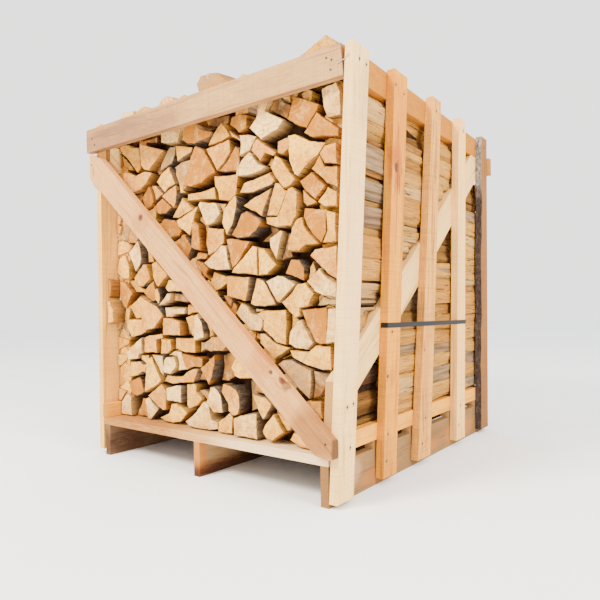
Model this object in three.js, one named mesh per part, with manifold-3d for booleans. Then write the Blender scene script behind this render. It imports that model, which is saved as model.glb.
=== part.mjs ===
// A crate of split beech firewood: an open crate of sawn boards on three skids, filled with four rows
// of short split logs, with a loose layer of logs on top and a flat strap round three of its slats.
// Millimetres. X runs to the right, Y from the front to the back, Z up. The front corner posts' front
// edges are at Y = 0 while the crate is drawn, and the last lines move its base's middle to the origin.

import * as THREE from 'three';
import { mergeVertices } from 'three/addons/utils/BufferGeometryUtils.js';
import Module from 'manifold-3d';

const wasm = await Module();
wasm.setup();

// Driving dimensions
const WIDTH = 1000;
const DEPTH = 1088;
const POST_TOP = 1142;
const BOARD = 24;
const GAP = 0.4;
const SKID_HEIGHT = 103.2;
const DECK_BOTTOM = SKID_HEIGHT + GAP;
const DECK_TOP = DECK_BOTTOM + BOARD;
const LOG_LENGTH = 250;
const ROW_PITCH = 261;

// The right side leans outwards, more at the front than at the back, and the left side leans in a little
const LEAN_FRONT = 0.061;
const LEAN_BACK = 0.012;
const LEFT_LEAN = 0.005;

// Timber and strap colours
const looks = {
  pale: { color: 0xe3cfba, roughness: 0.75 },
  cream: { color: 0xf0dcc0, roughness: 0.72 },
  tan: { color: 0xdcae78, roughness: 0.75 },
  orange: { color: 0xd99a58, roughness: 0.75 },
  log: { color: 0xe6c799, roughness: 0.85 },
  strap: { color: 0x17181a, roughness: 0.45 },
};

const crate = new THREE.Group();

// Adds one named piece to the crate
function addPiece(name, look, geometry) {
  const material = new THREE.MeshStandardMaterial({ ...looks[look], metalness: 0 });
  const mesh = new THREE.Mesh(geometry, material);
  mesh.name = name;
  crate.add(mesh);
  return mesh;
}

// Moves every corner of a geometry to the place that a rule gives for it
function reshape(geometry, rule) {
  const positions = geometry.attributes.position;
  const corner = new THREE.Vector3();
  for (let i = 0; i < positions.count; i += 1) {
    corner.fromBufferAttribute(positions, i);
    const moved = rule(corner);
    positions.setXYZ(i, moved.x, moved.y, moved.z);
  }
  return geometry;
}

// A board laid out by its sections: each one is a distance along it and the two edges there.
// along, across and through name the axes of its length, width and thickness.
function ruledBoard(along, across, through, sections, place) {
  const steps = { x: 1, y: 1, z: 1 };
  steps[along] = sections.length - 1;
  const box = new THREE.BoxGeometry(1, 1, 1, steps.x, steps.y, steps.z);
  return reshape(box, (corner) => {
    const [distance, low, high] = sections[Math.round((corner[along] + 0.5) * steps[along])];
    const width = THREE.MathUtils.lerp(low, high, corner[across] + 0.5);
    return place(distance, width, corner[through] + 0.5);
  });
}

// Sections between two end sections, evenly spaced, with an optional waney low edge
function sectionsBetween(first, last, count, wane = () => 0) {
  return Array.from({ length: count + 1 }, (_, i) => {
    const t = i / count;
    const [distance, low, high] = first.map((value, k) => THREE.MathUtils.lerp(value, last[k], t));
    return [distance, low + wane(distance), high];
  });
}

// Side frames: a point a given depth inside the outer face of the right or left frame. The left frame
// is the right one turned half round, so its front end is the one that stands at the crate's back.
function rightLean(y) {
  return THREE.MathUtils.lerp(LEAN_FRONT, LEAN_BACK, y / DEPTH);
}

function sidePoint(side, depth, y, z) {
  if (side === 'right') {
    return new THREE.Vector3(WIDTH / 2 + rightLean(y) * z - depth, y, z);
  }
  return new THREE.Vector3(-WIDTH / 2 + LEFT_LEAN * z + depth, DEPTH - y, z);
}

function sideUpright(side, sections) {
  return ruledBoard('z', 'y', 'x', sections, (z, y, out) => sidePoint(side, (1 - out) * BOARD, y, z));
}

// A rail or brace of a side frame lies inside the uprights; grow widens it for cutting clearance
function sideRail(side, sections, grow = 0) {
  const outerDepth = BOARD + GAP - grow;
  const innerDepth = 2 * BOARD + GAP + grow;
  const grown = sections.map(([y, low, high], i) => {
    const end = i === 0 ? -grow : i === sections.length - 1 ? grow : 0;
    return [y + end, low - grow, high + grow];
  });
  return ruledBoard('y', 'z', 'x', grown, (y, z, out) => {
    return sidePoint(side, THREE.MathUtils.lerp(innerDepth, outerDepth, out), y, z);
  });
}

// Foot and head of each upright: its front and back edge at the bottom and at the top
const BARK_WAVE = 4;
const uprights = [
  { name: 'front_post', look: 'cream', foot: [12, 0, 76], head: [POST_TOP, 0, 81] },
  { name: 'second_slat', look: 'orange', foot: [19, 231, 308], head: [1150, 230, 316] },
  { name: 'third_slat', look: 'tan', foot: [20, 451, 541], head: [1157, 511, 584] },
  { name: 'fourth_slat', look: 'cream', foot: [21, 760, 838], head: [1154, 756, 830] },
  { name: 'back_post', look: 'tan', foot: [15, 1006, 1084], head: [1151, 1022, 1088], bark: true },
];

const RAIL_BOTTOM = 1071.5;
const RAIL_TOP = 1143.5;
const RAIL_FRONT = 26;
const FOOT_RAIL_TOP = 174.6;
const BRACE_SLOPE = 0.781;
const BRACE_LOW = 188;
const BRACE_HIGH = 316;
const BRACE_TOP = RAIL_BOTTOM - 2 * GAP;
const BRACE_END = 1066;

const braceMeetsRail = (BRACE_TOP - BRACE_HIGH) / BRACE_SLOPE;
const sideRails = [
  {
    name: 'top_rail',
    look: 'orange',
    sections: sectionsBetween([RAIL_FRONT, RAIL_BOTTOM, RAIL_TOP], [DEPTH - 2, RAIL_BOTTOM, RAIL_TOP], 5),
  },
  {
    name: 'foot_rail',
    look: 'cream',
    sections: sectionsBetween(
      [1, DECK_TOP + GAP, FOOT_RAIL_TOP],
      [DEPTH - 1, DECK_TOP + GAP, FOOT_RAIL_TOP],
      5,
    ),
  },
  {
    name: 'brace',
    look: 'cream',
    sections: [
      ...sectionsBetween(
        [1, BRACE_LOW, BRACE_HIGH],
        [braceMeetsRail, BRACE_LOW + BRACE_SLOPE * braceMeetsRail, BRACE_TOP],
        9,
      ),
      [BRACE_END, BRACE_LOW + BRACE_SLOPE * BRACE_END, BRACE_TOP],
    ],
  },
];

for (const side of ['right', 'left']) {
  uprights.forEach(({ look, foot, head, bark }, i) => {
    const place = side === 'right' ? i : uprights.length - 1 - i;
    const wane = bark ? (z) => BARK_WAVE * (Math.sin(z / 61) + Math.sin(z / 23)) : undefined;
    const sections = sectionsBetween(foot, head, bark ? 18 : 8, wane);
    addPiece(`${side}_${uprights[place].name}`, look, sideUpright(side, sections));
  });
  for (const { name, look, sections } of sideRails) {
    addPiece(`${side}_${name}`, look, sideRail(side, sections));
  }
}

// Front and back frames: a flat board from its outline in X and Z
function flatBoard(points, thickness) {
  const shape = new THREE.Shape(points.map(([x, z]) => new THREE.Vector2(x, z)));
  const geometry = new THREE.ExtrudeGeometry(shape, { depth: thickness, bevelEnabled: false });
  return geometry.rotateX(Math.PI / 2).translate(0, thickness, 0);
}

// The front rail lies over the left post and butts against the right one, so it runs askew
const FRONT_RAIL = { left: -515, right: 535, leftZ: [1051, 1130], rightZ: [1064, 1144] };
const POST_CLEARANCE = 1.5;
const END_CUT = 0.08;
const railSkew = BOARD / (FRONT_RAIL.right - FRONT_RAIL.left);
const frontRail = ruledBoard(
  'x',
  'z',
  'y',
  [[FRONT_RAIL.left, ...FRONT_RAIL.leftZ], [FRONT_RAIL.right, ...FRONT_RAIL.rightZ]],
  (x, z, inward) => {
    const skew = railSkew * (x - FRONT_RAIL.left);
    const endCut = x > 0 ? (FRONT_RAIL.rightZ[1] - z) * END_CUT - 3 : 0;
    return new THREE.Vector3(x + endCut, skew - POST_CLEARANCE - BOARD + inward * BOARD, z);
  },
);
addPiece('front_rail', 'pale', frontRail);

const BRACE_OUTLINE = [
  [-499, 1043], [-499, 962], [-470, 925], [-434, 905], [452, 134],
  [489, 127], [506, 131], [506, 175], [-415, 1000], [-438, 1020],
];
addPiece('front_brace', 'pale', flatBoard(BRACE_OUTLINE, BOARD)).position.y = -BOARD - GAP;

// The back rail sits lower at its right end, and the back brace meets it from below at the other one
const BACK_RAIL_OUTLINE = [[-511, 1050], [521, 1012], [521, 1078], [-511, 1124]];
addPiece('back_rail', 'pale', flatBoard(BACK_RAIL_OUTLINE, BOARD)).position.y = DEPTH + GAP;
const BACK_BRACE_DROP = 48;
const backBrace = BRACE_OUTLINE
  .map(([x, z]) => [-x, z > 900 ? z - BACK_BRACE_DROP : z])
  .reverse();
addPiece('back_brace', 'pale', flatBoard(backBrace, BOARD)).position.y = DEPTH + GAP;

// Pallet: three skids on edge and five deck boards across them, under the side frames' uprights
const skids = { left_skid: -446, middle_skid: 0, right_skid: 463.5 };
for (const [name, x] of Object.entries(skids)) {
  const skid = new THREE.BoxGeometry(BOARD, DEPTH, SKID_HEIGHT);
  addPiece(name, 'cream', skid).position.set(x, DEPTH / 2, SKID_HEIGHT / 2);
}

const DECK_LEFT = -468;
const DECK_RIGHT = 476;
const deckBoards = [[0, 98], [222, 320], [447, 545], [750, 848], [990, DEPTH]];
deckBoards.forEach(([front, back], i) => {
  const deck = new THREE.BoxGeometry(DECK_RIGHT - DECK_LEFT, back - front, BOARD);
  const middle = (DECK_LEFT + DECK_RIGHT) / 2;
  addPiece(`deck_board_${i + 1}`, i ? 'tan' : 'cream', deck)
    .position.set(middle, (front + back) / 2, DECK_BOTTOM + BOARD / 2);
});

// Strap: a flat band over slats two to four of the right side, turned in at both ends
const STRAP_WIDTH = 14;
const STRAP_THICK = 1.2;
const STRAP_Z = 440;
const STRAP_DROP = 0.016;
const strapFront = 230 - GAP - STRAP_THICK;
const strapBack = 836 + GAP + STRAP_THICK;
const strapTurn = 20;
const strapPath = [
  [strapTurn, strapFront], [-GAP - STRAP_THICK, strapFront], [-GAP - STRAP_THICK, strapBack],
  [strapTurn, strapBack], [strapTurn, strapBack - STRAP_THICK], [-GAP, strapBack - STRAP_THICK],
  [-GAP, strapFront + STRAP_THICK], [strapTurn, strapFront + STRAP_THICK],
];
const strapShape = new THREE.Shape(strapPath.map(([depth, y]) => new THREE.Vector2(-depth, y)));
const strap = new THREE.ExtrudeGeometry(strapShape, { depth: STRAP_WIDTH, bevelEnabled: false });
addPiece('strap', 'strap', reshape(strap, (corner) => {
  const z = STRAP_Z + corner.z - STRAP_DROP * (corner.y - strapFront);
  const straight = WIDTH / 2 + rightLean(strapFront) * z;
  const bent = WIDTH / 2 + rightLean(strapBack) * z;
  const share = (corner.y - strapFront) / (strapBack - strapFront);
  return new THREE.Vector3(THREE.MathUtils.lerp(straight, bent, share) + corner.x, corner.y, z);
}));

// Split logs. Each one is the outline of its end, going round it, after how far it stands back from the
// stack's front. They are given in X and Z, course by course from the deck up.
function end(setBack, ...numbers) {
  const outline = [];
  for (let i = 0; i < numbers.length; i += 2) {
    outline.push([numbers[i], numbers[i + 1]]);
  }
  return { setBack, outline };
}

const logEnds = [
  end(0, -474, 223, -455, 222, -421, 215, -444, 187, -466, 161, -468, 129, -474, 128),
  end(
    -4,
    -464, 160, -447, 180, -428, 199, -410, 208,
    -393, 198, -388, 170, -387, 129, -446, 129, -464, 134,
  ),
  end(16, -383, 129, -375, 150, -362, 165, -347, 197, -325, 195, -318, 180, -310, 150, -304, 129),
  end(
    2,
    -323, 194, -313, 202, -296, 207, -270, 186, -240, 171,
    -243, 163, -262, 141, -277, 129, -300, 129, -305, 148,
  ),
  end(
    0,
    -294, 210, -270, 225, -240, 241, -219, 257, -206, 246,
    -195, 233, -196, 200, -201, 169, -216, 164, -240, 174,
  ),
  end(
    6,
    -425, 247, -412, 252, -385, 262, -355, 270, -344, 262,
    -325, 218, -345, 205, -368, 198, -395, 200, -416, 228,
  ),
  end(4, -474, 286, -452, 282, -446, 262, -430, 250, -440, 238, -458, 226, -474, 228),
  end(-2, -399, 319, -345, 325, -318, 312, -301, 316, -303, 286, -322, 288, -352, 271, -408, 262),
  end(8, -344, 345, -300, 347, -297, 337, -300, 319, -318, 314, -343, 327),
  end(
    -6,
    -297, 336, -268, 344, -250, 318, -228, 292,
    -213, 266, -232, 250, -262, 234, -304, 218, -299, 280,
  ),
  end(-3, -330, 405, -325, 350, -345, 342, -348, 329, -405, 323, -412, 345, -395, 368, -365, 385),
  end(2, -316, 403, -290, 414, -216, 421, -213, 405, -248, 400, -247, 353, -316, 352),
  end(0, -266, 350, -212, 350, -208, 320, -212, 278, -226, 289, -246, 316),
  end(
    -4,
    -200, 335, -188, 348, -150, 350, -138, 328,
    -138, 313, -152, 298, -170, 287, -200, 291, -209, 310,
  ),
  end(
    8,
    -186, 351, -158, 367, -125, 365, -117, 352,
    -105, 318, -95, 306, -140, 300, -137, 315, -148, 350,
  ),
  end(0, -196, 244, -150, 256, -122, 258, -118, 231, -119, 199, -190, 202),
  end(
    3,
    -232, 142, -188, 160, -173, 196, -148, 198,
    -118, 188, -93, 171, -128, 137, -165, 130, -205, 131,
  ),
  end(
    4,
    -212, 263, -195, 285, -150, 283, -108, 290, -92, 303,
    -60, 314, -38, 314, -55, 285, -60, 270, -100, 265, -165, 257,
  ),
  end(0, -474, 344, -414, 345, -420, 322, -448, 302, -474, 294),
  end(
    0,
    -93, 147, -58, 172, -14, 218, 8, 216, 14, 185,
    22, 165, 49, 158, 50, 138, 15, 130, -35, 129, -76, 134,
  ),
  end(-8, 31, 267, 50, 269, 70, 255, 79, 240, 81, 190, 40, 186, 10, 217, 22, 240),
  end(
    -2,
    79, 279, 105, 278, 135, 266, 148, 245, 149, 212,
    142, 192, 118, 186, 104, 199, 99, 220, 82, 242, 72, 256,
  ),
  end(2, 51, 163, 80, 180, 102, 195, 116, 184, 112, 150, 113, 133, 90, 129, 52, 131),
  end(-4, 123, 182, 150, 194, 216, 208, 218, 180, 221, 132, 165, 129, 128, 132),
  end(6, -96, 264, -60, 269, -50, 262, -50, 246, -34, 232, -20, 222, -50, 195, -85, 184, -96, 195),
  end(14, -48, 247, -20, 252, 0, 248, 3, 225, -5, 219, -18, 223, -35, 233),
  end(24, -38, 312, -10, 314, 16, 282, -20, 275, -58, 277, -53, 286),
  end(4, -120, 361, -90, 358, -30, 350, -20, 345, -22, 318, -62, 316, -88, 309, -101, 318, -112, 345),
  end(30, -18, 345, 20, 352, 14, 342, -12, 322, -19, 328),
  end(-14, -12, 318, 20, 340, 56, 364, 58, 335, 48, 300, 30, 270),
  end(22, 58, 362, 84, 371, 112, 371, 126, 357, 112, 330, 122, 305, 84, 282, 52, 282, 60, 320),
  end(2, 113, 328, 127, 355, 165, 360, 205, 330, 200, 300, 180, 295, 150, 294, 128, 303),
  end(44, 152, 292, 200, 292, 196, 262, 212, 215, 155, 197, 152, 240),
  end(8, 207, 290, 222, 290, 252, 262, 250, 257, 205, 263, 199, 268),
  end(0, 199, 261, 250, 254, 272, 238, 270, 226, 240, 187, 225, 205, 211, 236),
  end(-2, 235, 158, 245, 176, 281, 213, 303, 188, 321, 166, 300, 150, 274, 133, 248, 140),
  end(4, 287, 222, 345, 190, 338, 172, 327, 167, 305, 190),
  end(4, 333, 148, 350, 170, 410, 165, 440, 130, 370, 130),
  end(-6, 306, 350, 322, 362, 350, 366, 385, 349, 416, 339, 418, 300, 412, 262, 370, 290, 330, 325),
  end(6, 418, 338, 474, 334, 474, 312, 452, 287, 436, 268, 414, 262, 420, 300),
  end(4, 405, 260, 440, 262, 446, 215, 420, 205, 380, 240),
  end(0, -474, 408, -440, 404, -400, 395, -404, 378, -424, 368, -474, 353),
  end(34, -466, 448, -432, 452, -420, 431, -406, 416, -455, 414),
  end(-44, -474, 536, -458, 535, -445, 515, -432, 500, -435, 480, -430, 460, -440, 453, -474, 448),
  end(-38, -474, 612, -455, 606, -450, 590, -455, 560, -461, 545, -474, 540),
  end(
    -2,
    -452, 603, -420, 600, -405, 585, -385, 565, -375, 557,
    -392, 540, -402, 520, -415, 504, -430, 503, -442, 516, -457, 541,
  ),
  end(
    14,
    -425, 604, -385, 604, -365, 592, -345, 577,
    -318, 568, -322, 557, -375, 558, -386, 568, -408, 590,
  ),
  end(30, -395, 548, -370, 555, -342, 552, -368, 532, -397, 514, -405, 528),
  end(0, -397, 512, -365, 530, -338, 546, -323, 546, -321, 500, -322, 470, -358, 466, -378, 490),
  end(
    -4,
    -321, 546, -300, 537, -270, 522, -235, 510, -213, 488, -211, 475,
    -222, 462, -255, 435, -285, 428, -302, 426, -313, 445, -320, 472,
  ),
  end(
    2,
    -425, 460, -405, 467, -360, 465, -318, 468, -312, 445,
    -303, 426, -330, 412, -372, 403, -395, 403, -406, 415, -416, 432,
  ),
  end(26, -428, 500, -405, 503, -372, 468, -424, 464),
  end(0, -213, 472, -180, 474, -118, 462, -115, 415, -211, 413),
  end(3, -202, 506, -120, 505, -92, 503, -98, 484, -145, 482, -168, 470, -195, 470),
  end(-2, -232, 511, -205, 535, -182, 553, -160, 549, -165, 530, -195, 514),
  end(16, -165, 552, -110, 550, -86, 536, -84, 522, -120, 520, -168, 526),
  end(0, -253, 560, -245, 572, -235, 570, -222, 550, -222, 530, -232, 515, -240, 518, -252, 532),
  end(
    5,
    -265, 598, -262, 580, -252, 569, -255, 550, -253, 531,
    -262, 523, -280, 523, -300, 540, -318, 556, -312, 570, -288, 588,
  ),
  end(
    0,
    -370, 610, -348, 628, -318, 656, -298, 653, -280, 625,
    -272, 603, -286, 590, -316, 573, -342, 578, -365, 594,
  ),
  end(2, -268, 655, -245, 662, -205, 633, -182, 612, -232, 572, -244, 575, -262, 602),
  end(6, -203, 570, -182, 598, -165, 598, -130, 577, -98, 556, -130, 554, -190, 556),
  end(26, -246, 399, -219, 402, -223, 352, -245, 352),
  end(0, -217, 405, -170, 404, -165, 368, -190, 351, -221, 352),
  end(18, -168, 402, -147, 402, -145, 372, -163, 366),
  end(2, -145, 408, -100, 412, -50, 411, -48, 362, -95, 360, -125, 367, -143, 373),
  end(10, -90, 515, -40, 505, -30, 490, -50, 485, -92, 480),
  end(4, -99, 474, -70, 482, -46, 480, -48, 412, -64, 414, -84, 442),
  end(-6, -44, 480, -30, 486, -8, 458, 2, 432, 1, 410, -20, 402, -46, 398),
  end(14, -4, 455, 16, 448, 28, 416, 4, 408, 4, 432),
  end(32, -118, 448, -98, 455, -66, 416, -113, 416),
  end(0, -6, 394, 15, 404, 34, 418, 70, 420, 96, 390, 80, 373, 22, 369, 2, 378),
  end(24, -46, 396, -20, 400, -8, 390, -24, 374, -46, 362),
  end(6, 39, 613, 70, 603, 97, 594, 96, 574, 75, 560, 48, 550, 22, 575),
  end(-4, 101, 597, 150, 593, 196, 589, 192, 545, 183, 517, 150, 522, 106, 534),
  end(10, 72, 540, 95, 542, 103, 532, 118, 528, 108, 500, 92, 512),
  end(28, 118, 524, 152, 518, 132, 487, 110, 502),
  end(
    0,
    156, 517, 180, 508, 203, 486, 226, 482, 246, 470,
    246, 446, 236, 434, 195, 436, 160, 462, 133, 486,
  ),
  end(2, 221, 585, 246, 581, 264, 562, 294, 508, 250, 502, 208, 504, 193, 512),
  end(-2, 259, 574, 305, 590, 330, 585, 369, 562, 345, 540, 307, 512, 297, 514, 275, 548),
  end(
    -3,
    317, 514, 345, 534, 374, 565, 402, 566, 429, 536,
    410, 502, 380, 496, 381, 476, 363, 469, 340, 492,
  ),
  end(4, 325, 591, 345, 631, 375, 629, 396, 605, 394, 568, 375, 573, 345, 586),
  end(20, 398, 606, 410, 622, 422, 596, 408, 572, 396, 570),
  end(-2, 406, 567, 420, 584, 446, 601, 470, 578, 500, 560, 500, 524, 455, 528, 430, 540),
  end(6, 378, 496, 430, 499, 462, 503, 466, 470, 461, 440, 460, 405, 446, 401, 425, 410, 398, 452),
  end(0, 468, 499, 496, 500, 496, 412, 462, 405, 463, 440),
  end(30, 432, 533, 455, 524, 496, 520, 496, 506, 440, 502, 415, 503),
  end(0, 366, 467, 382, 472, 402, 440, 424, 408, 405, 389, 365, 391, 339, 402, 341, 436),
  end(
    -3,
    226, 485, 252, 495, 330, 496, 333, 470, 328, 430,
    328, 399, 298, 403, 268, 425, 249, 440, 250, 466,
  ),
  end(22, 334, 492, 362, 468, 338, 436, 331, 436, 335, 470),
  end(12, 205, 500, 242, 497, 228, 487, 206, 488),
  end(0, 236, 430, 254, 431, 300, 402, 343, 392, 320, 376, 284, 356, 260, 378, 236, 403),
  end(14, 188, 434, 233, 431, 233, 404, 210, 412),
  end(0, 345, 388, 362, 389, 405, 387, 430, 404, 478, 403, 478, 340, 450, 338, 400, 347, 352, 369),
  end(24, 292, 358, 325, 378, 342, 388, 348, 372, 318, 364),
  end(2, -474, 738, -440, 748, -412, 742, -380, 718, -402, 700, -430, 695, -474, 689),
  end(8, -446, 790, -425, 806, -398, 795, -350, 750, -366, 730, -395, 730, -411, 746, -440, 768),
  end(4, -474, 798, -450, 792, -443, 766, -443, 750, -474, 741),
  end(12, -474, 865, -450, 850, -407, 808, -425, 808, -448, 796, -474, 802),
  end(-2, -453, 684, -430, 694, -414, 692, -393, 648, -400, 606, -440, 606, -472, 634, -464, 660),
  end(30, -474, 686, -455, 684, -468, 660, -474, 650),
  end(-2, -398, 699, -372, 722, -345, 739, -328, 708, -322, 668, -333, 646, -355, 629, -378, 662),
  end(24, -412, 694, -398, 696, -378, 660, -360, 634, -374, 614, -392, 650),
  end(26, -340, 738, -310, 718, -288, 660, -318, 658, -321, 690),
  end(4, -102, 855, -84, 839, -62, 820, -50, 810, -100, 795, -125, 788, -155, 794, -136, 820),
  end(0, -127, 782, -98, 793, -58, 808, -28, 821, -43, 795, -47, 766, -64, 727, -95, 742, -116, 758),
  end(2, -232, 776, -203, 798, -150, 790, -129, 780, -108, 746, -118, 732, -170, 728, -195, 744),
  end(3, -112, 737, -97, 739, -62, 700, -60, 688, -82, 653, -140, 704, -122, 715),
  end(-6, -50, 768, -38, 774, -16, 758, -9, 720, -6, 676, -36, 680, -53, 688),
  end(20, -36, 790, -8, 780, 8, 745, 10, 680, -3, 678, -6, 720, -14, 758, -38, 776),
  end(-2, -20, 819, -12, 829, 60, 817, 76, 782, 52, 758, 28, 749, 12, 752, -6, 790),
  end(2, 20, 747, 90, 737, 88, 694, 56, 668, 20, 660, 11, 700),
  end(-4, 82, 690, 100, 685, 109, 648, 117, 613, 61, 611, 30, 620, 7, 638, 38, 660),
  end(0, 103, 703, 126, 706, 199, 689, 176, 660, 150, 632, 121, 614, 111, 655),
  end(-4, 86, 752, 95, 795, 125, 814, 143, 829, 151, 820, 150, 785, 136, 745, 108, 713, 98, 730),
  end(6, 50, 898, 145, 891, 143, 858, 138, 832, 112, 813, 95, 816, 66, 822, 62, 850, 50, 868),
  end(8, -82, 862, 0, 862, 47, 867, 52, 829, 0, 833, -86, 841),
  end(10, 62, 815, 95, 812, 88, 779, 78, 782),
  end(8, -38, 678, -6, 674, 10, 664, 2, 650, -12, 648, -46, 651),
  end(6, -47, 649, -12, 645, 14, 622, 4, 604, 22, 584, -10, 600, -38, 628),
  end(0, 158, 831, 175, 858, 278, 872, 298, 848, 288, 837, 250, 830, 214, 822, 180, 825),
  end(2, 172, 792, 215, 812, 284, 830, 262, 795, 242, 753, 196, 780),
  end(-2, 126, 712, 150, 742, 166, 771, 190, 778, 240, 750, 244, 738, 222, 714, 196, 698, 150, 700),
  end(4, 294, 842, 308, 842, 340, 813, 324, 785, 303, 746, 262, 753, 274, 800),
  end(
    -4,
    348, 817, 362, 821, 380, 806, 376, 742, 354, 715,
    302, 715, 266, 730, 264, 748, 304, 745, 326, 785,
  ),
  end(0, 298, 916, 318, 906, 345, 875, 371, 838, 352, 820, 330, 818, 302, 848, 279, 886),
  end(2, 381, 831, 421, 853, 471, 808, 437, 774, 402, 800),
  end(4, 473, 806, 504, 790, 504, 750, 462, 753, 439, 770),
  end(0, 423, 857, 438, 876, 452, 888, 466, 859, 508, 850, 508, 796, 474, 810),
  end(-4, 452, 890, 470, 909, 510, 910, 510, 853, 468, 861),
  end(20, 380, 814, 402, 796, 432, 771, 392, 764, 378, 780),
  end(
    0,
    353, 703, 356, 735, 390, 738, 398, 712, 424, 684,
    446, 661, 404, 660, 380, 646, 339, 649, 343, 682,
  ),
  end(4, 395, 762, 424, 756, 468, 750, 468, 690, 452, 662, 426, 683, 403, 712, 392, 740),
  end(0, 471, 747, 502, 738, 500, 660, 456, 662, 470, 690),
  end(2, 416, 634, 432, 650, 500, 656, 500, 566, 472, 580, 449, 602),
  end(0, 273, 692, 316, 711, 325, 708, 312, 670, 298, 628, 282, 648, 273, 668),
  end(20, 327, 706, 342, 704, 338, 650, 344, 634, 302, 628, 315, 670),
  end(
    0,
    130, 615, 152, 632, 178, 658, 205, 678, 224, 672,
    226, 640, 228, 590, 200, 592, 150, 598, 123, 602,
  ),
  end(2, 228, 671, 250, 667, 275, 643, 297, 618, 262, 589, 231, 589),
  end(42, 240, 735, 262, 728, 300, 713, 272, 690, 268, 682, 210, 688, 246, 714),
  end(2, -474, 1050, -448, 1062, -434, 1045, -428, 1006, -450, 1000, -474, 998),
  end(28, -474, 1090, -444, 1082, -443, 1058, -474, 1050),
  end(3, -430, 1035, -410, 1032, -374, 997, -369, 983, -400, 988, -426, 1003),
  end(
    -2,
    -446, 1080, -402, 1078, -362, 1060, -326, 1056,
    -323, 982, -342, 968, -368, 995, -408, 1034, -432, 1052,
  ),
  end(
    -5,
    -418, 982, -396, 982, -346, 962, -300, 969, -268, 962, -258, 955,
    -285, 925, -315, 905, -350, 900, -378, 903, -402, 915, -416, 935,
  ),
  end(3, -474, 994, -440, 985, -421, 981, -422, 958, -440, 948, -474, 972),
  end(
    -2,
    -319, 1068, -296, 1062, -240, 1040, -190, 1020,
    -212, 1008, -245, 985, -275, 964, -300, 971, -318, 988,
  ),
  end(24, -265, 966, -240, 982, -205, 1012, -186, 1010, -214, 972, -216, 952, -250, 950),
  end(22, -360, 1088, -250, 1080, -254, 1060, -318, 1072, -322, 1060, -358, 1064),
  end(0, -207, 1082, -102, 1086, -106, 1060, -118, 1030, -165, 1034, -208, 1046),
  end(4, -188, 1008, -168, 1028, -138, 1026, -138, 1000, -157, 968, -214, 954, -212, 970),
  end(2, -238, 922, -214, 948, -170, 964, -152, 935, -134, 901, -165, 894, -192, 880, -218, 902),
  end(
    0,
    -190, 878, -165, 892, -134, 899, -128, 868,
    -130, 845, -142, 822, -157, 832, -188, 856, -207, 870,
  ),
  end(4, -258, 834, -240, 852, -208, 868, -188, 854, -158, 830, -190, 810, -224, 811),
  end(2, -322, 878, -282, 917, -266, 902, -262, 880, -252, 858, -268, 843, -298, 838, -312, 858),
  end(10, -274, 918, -250, 917, -207, 880, -226, 869, -250, 862, -260, 888),
  end(22, -372, 900, -348, 899, -322, 884, -326, 872, -352, 877),
  end(16, -150, 960, -132, 930, -112, 884, -100, 868, -128, 870, -134, 902, -150, 938),
  end(
    -4,
    -88, 1062, -74, 1079, -26, 1073, 0, 1048, 50, 1030,
    40, 1016, 0, 1012, -35, 1006, -70, 1016, -94, 1032,
  ),
  end(2, -132, 1024, -100, 1020, -50, 1004, -58, 989, -90, 979, -124, 969),
  end(8, -145, 958, -110, 971, -56, 972, -50, 950, -84, 908, -88, 882, -104, 872, -124, 908),
  end(
    -6,
    -22, 1001, 14, 985, 38, 942, 60, 906, 30, 899,
    -5, 881, -55, 877, -86, 886, -60, 932, -45, 972,
  ),
  end(0, 20, 983, 75, 989, 118, 997, 122, 958, 92, 926, 65, 908, 42, 945),
  end(4, 140, 973, 155, 962, 156, 925, 147, 897, 100, 900, 72, 908, 100, 928, 124, 956),
  end(2, 84, 1052, 68, 1044, 36, 1010, 26, 991, 80, 992, 118, 1005, 108, 1028),
  end(10, 110, 1026, 122, 1016, 156, 990, 157, 982, 120, 1002),
  end(0, 121, 1036, 130, 1056, 164, 1061, 195, 1049, 192, 1009, 160, 1002, 138, 1018),
  end(4, 158, 1000, 190, 997, 227, 984, 212, 958, 202, 945, 160, 935, 164, 970),
  end(-2, 199, 943, 208, 940, 238, 902, 270, 888, 250, 879, 200, 872, 145, 881, 149, 900, 170, 925),
  end(26, 2, 1062, 40, 1052, 88, 1054, 92, 1080, -10, 1086),
  end(
    -2,
    200, 1008, 226, 1032, 237, 1071, 284, 1074, 262, 1048,
    300, 1026, 332, 1004, 310, 982, 268, 973, 245, 966, 229, 984,
  ),
  end(16, 264, 1048, 288, 1076, 312, 1075, 322, 1060, 347, 1046, 334, 1007, 302, 1027),
  end(10, 316, 1076, 352, 1078, 350, 1050, 324, 1062),
  end(0, 351, 1042, 359, 1065, 400, 1048, 449, 1020, 443, 1005, 405, 967, 380, 975, 336, 1005),
  end(2, 451, 1062, 500, 1068, 514, 1040, 512, 978, 470, 979, 456, 1012),
  end(2, 400, 954, 422, 978, 444, 1000, 470, 977, 512, 944, 510, 924, 460, 929, 424, 937),
  end(6, 303, 952, 330, 960, 348, 957, 347, 924, 322, 912, 303, 919),
  end(
    -2,
    349, 957, 374, 957, 400, 945, 428, 929, 476, 915,
    450, 887, 410, 867, 378, 843, 365, 849, 349, 890,
  ),
  end(2, 228, 977, 250, 960, 301, 923, 291, 914, 260, 927, 243, 904, 208, 943, 214, 961),
  end(26, 246, 898, 262, 922, 286, 910, 268, 890),
];

// The front of the stack stands back 62 mm at the left and 17 mm at the right of the posts' front edges
const FACE_LEFT = 62;
const FACE_RIGHT = 17;
const FACE_REACH = 452;
const RAIL_CLEARANCE = 28;
function stackFront(x) {
  return THREE.MathUtils.lerp(FACE_LEFT, FACE_RIGHT, (x + FACE_REACH) / (2 * FACE_REACH));
}

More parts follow.
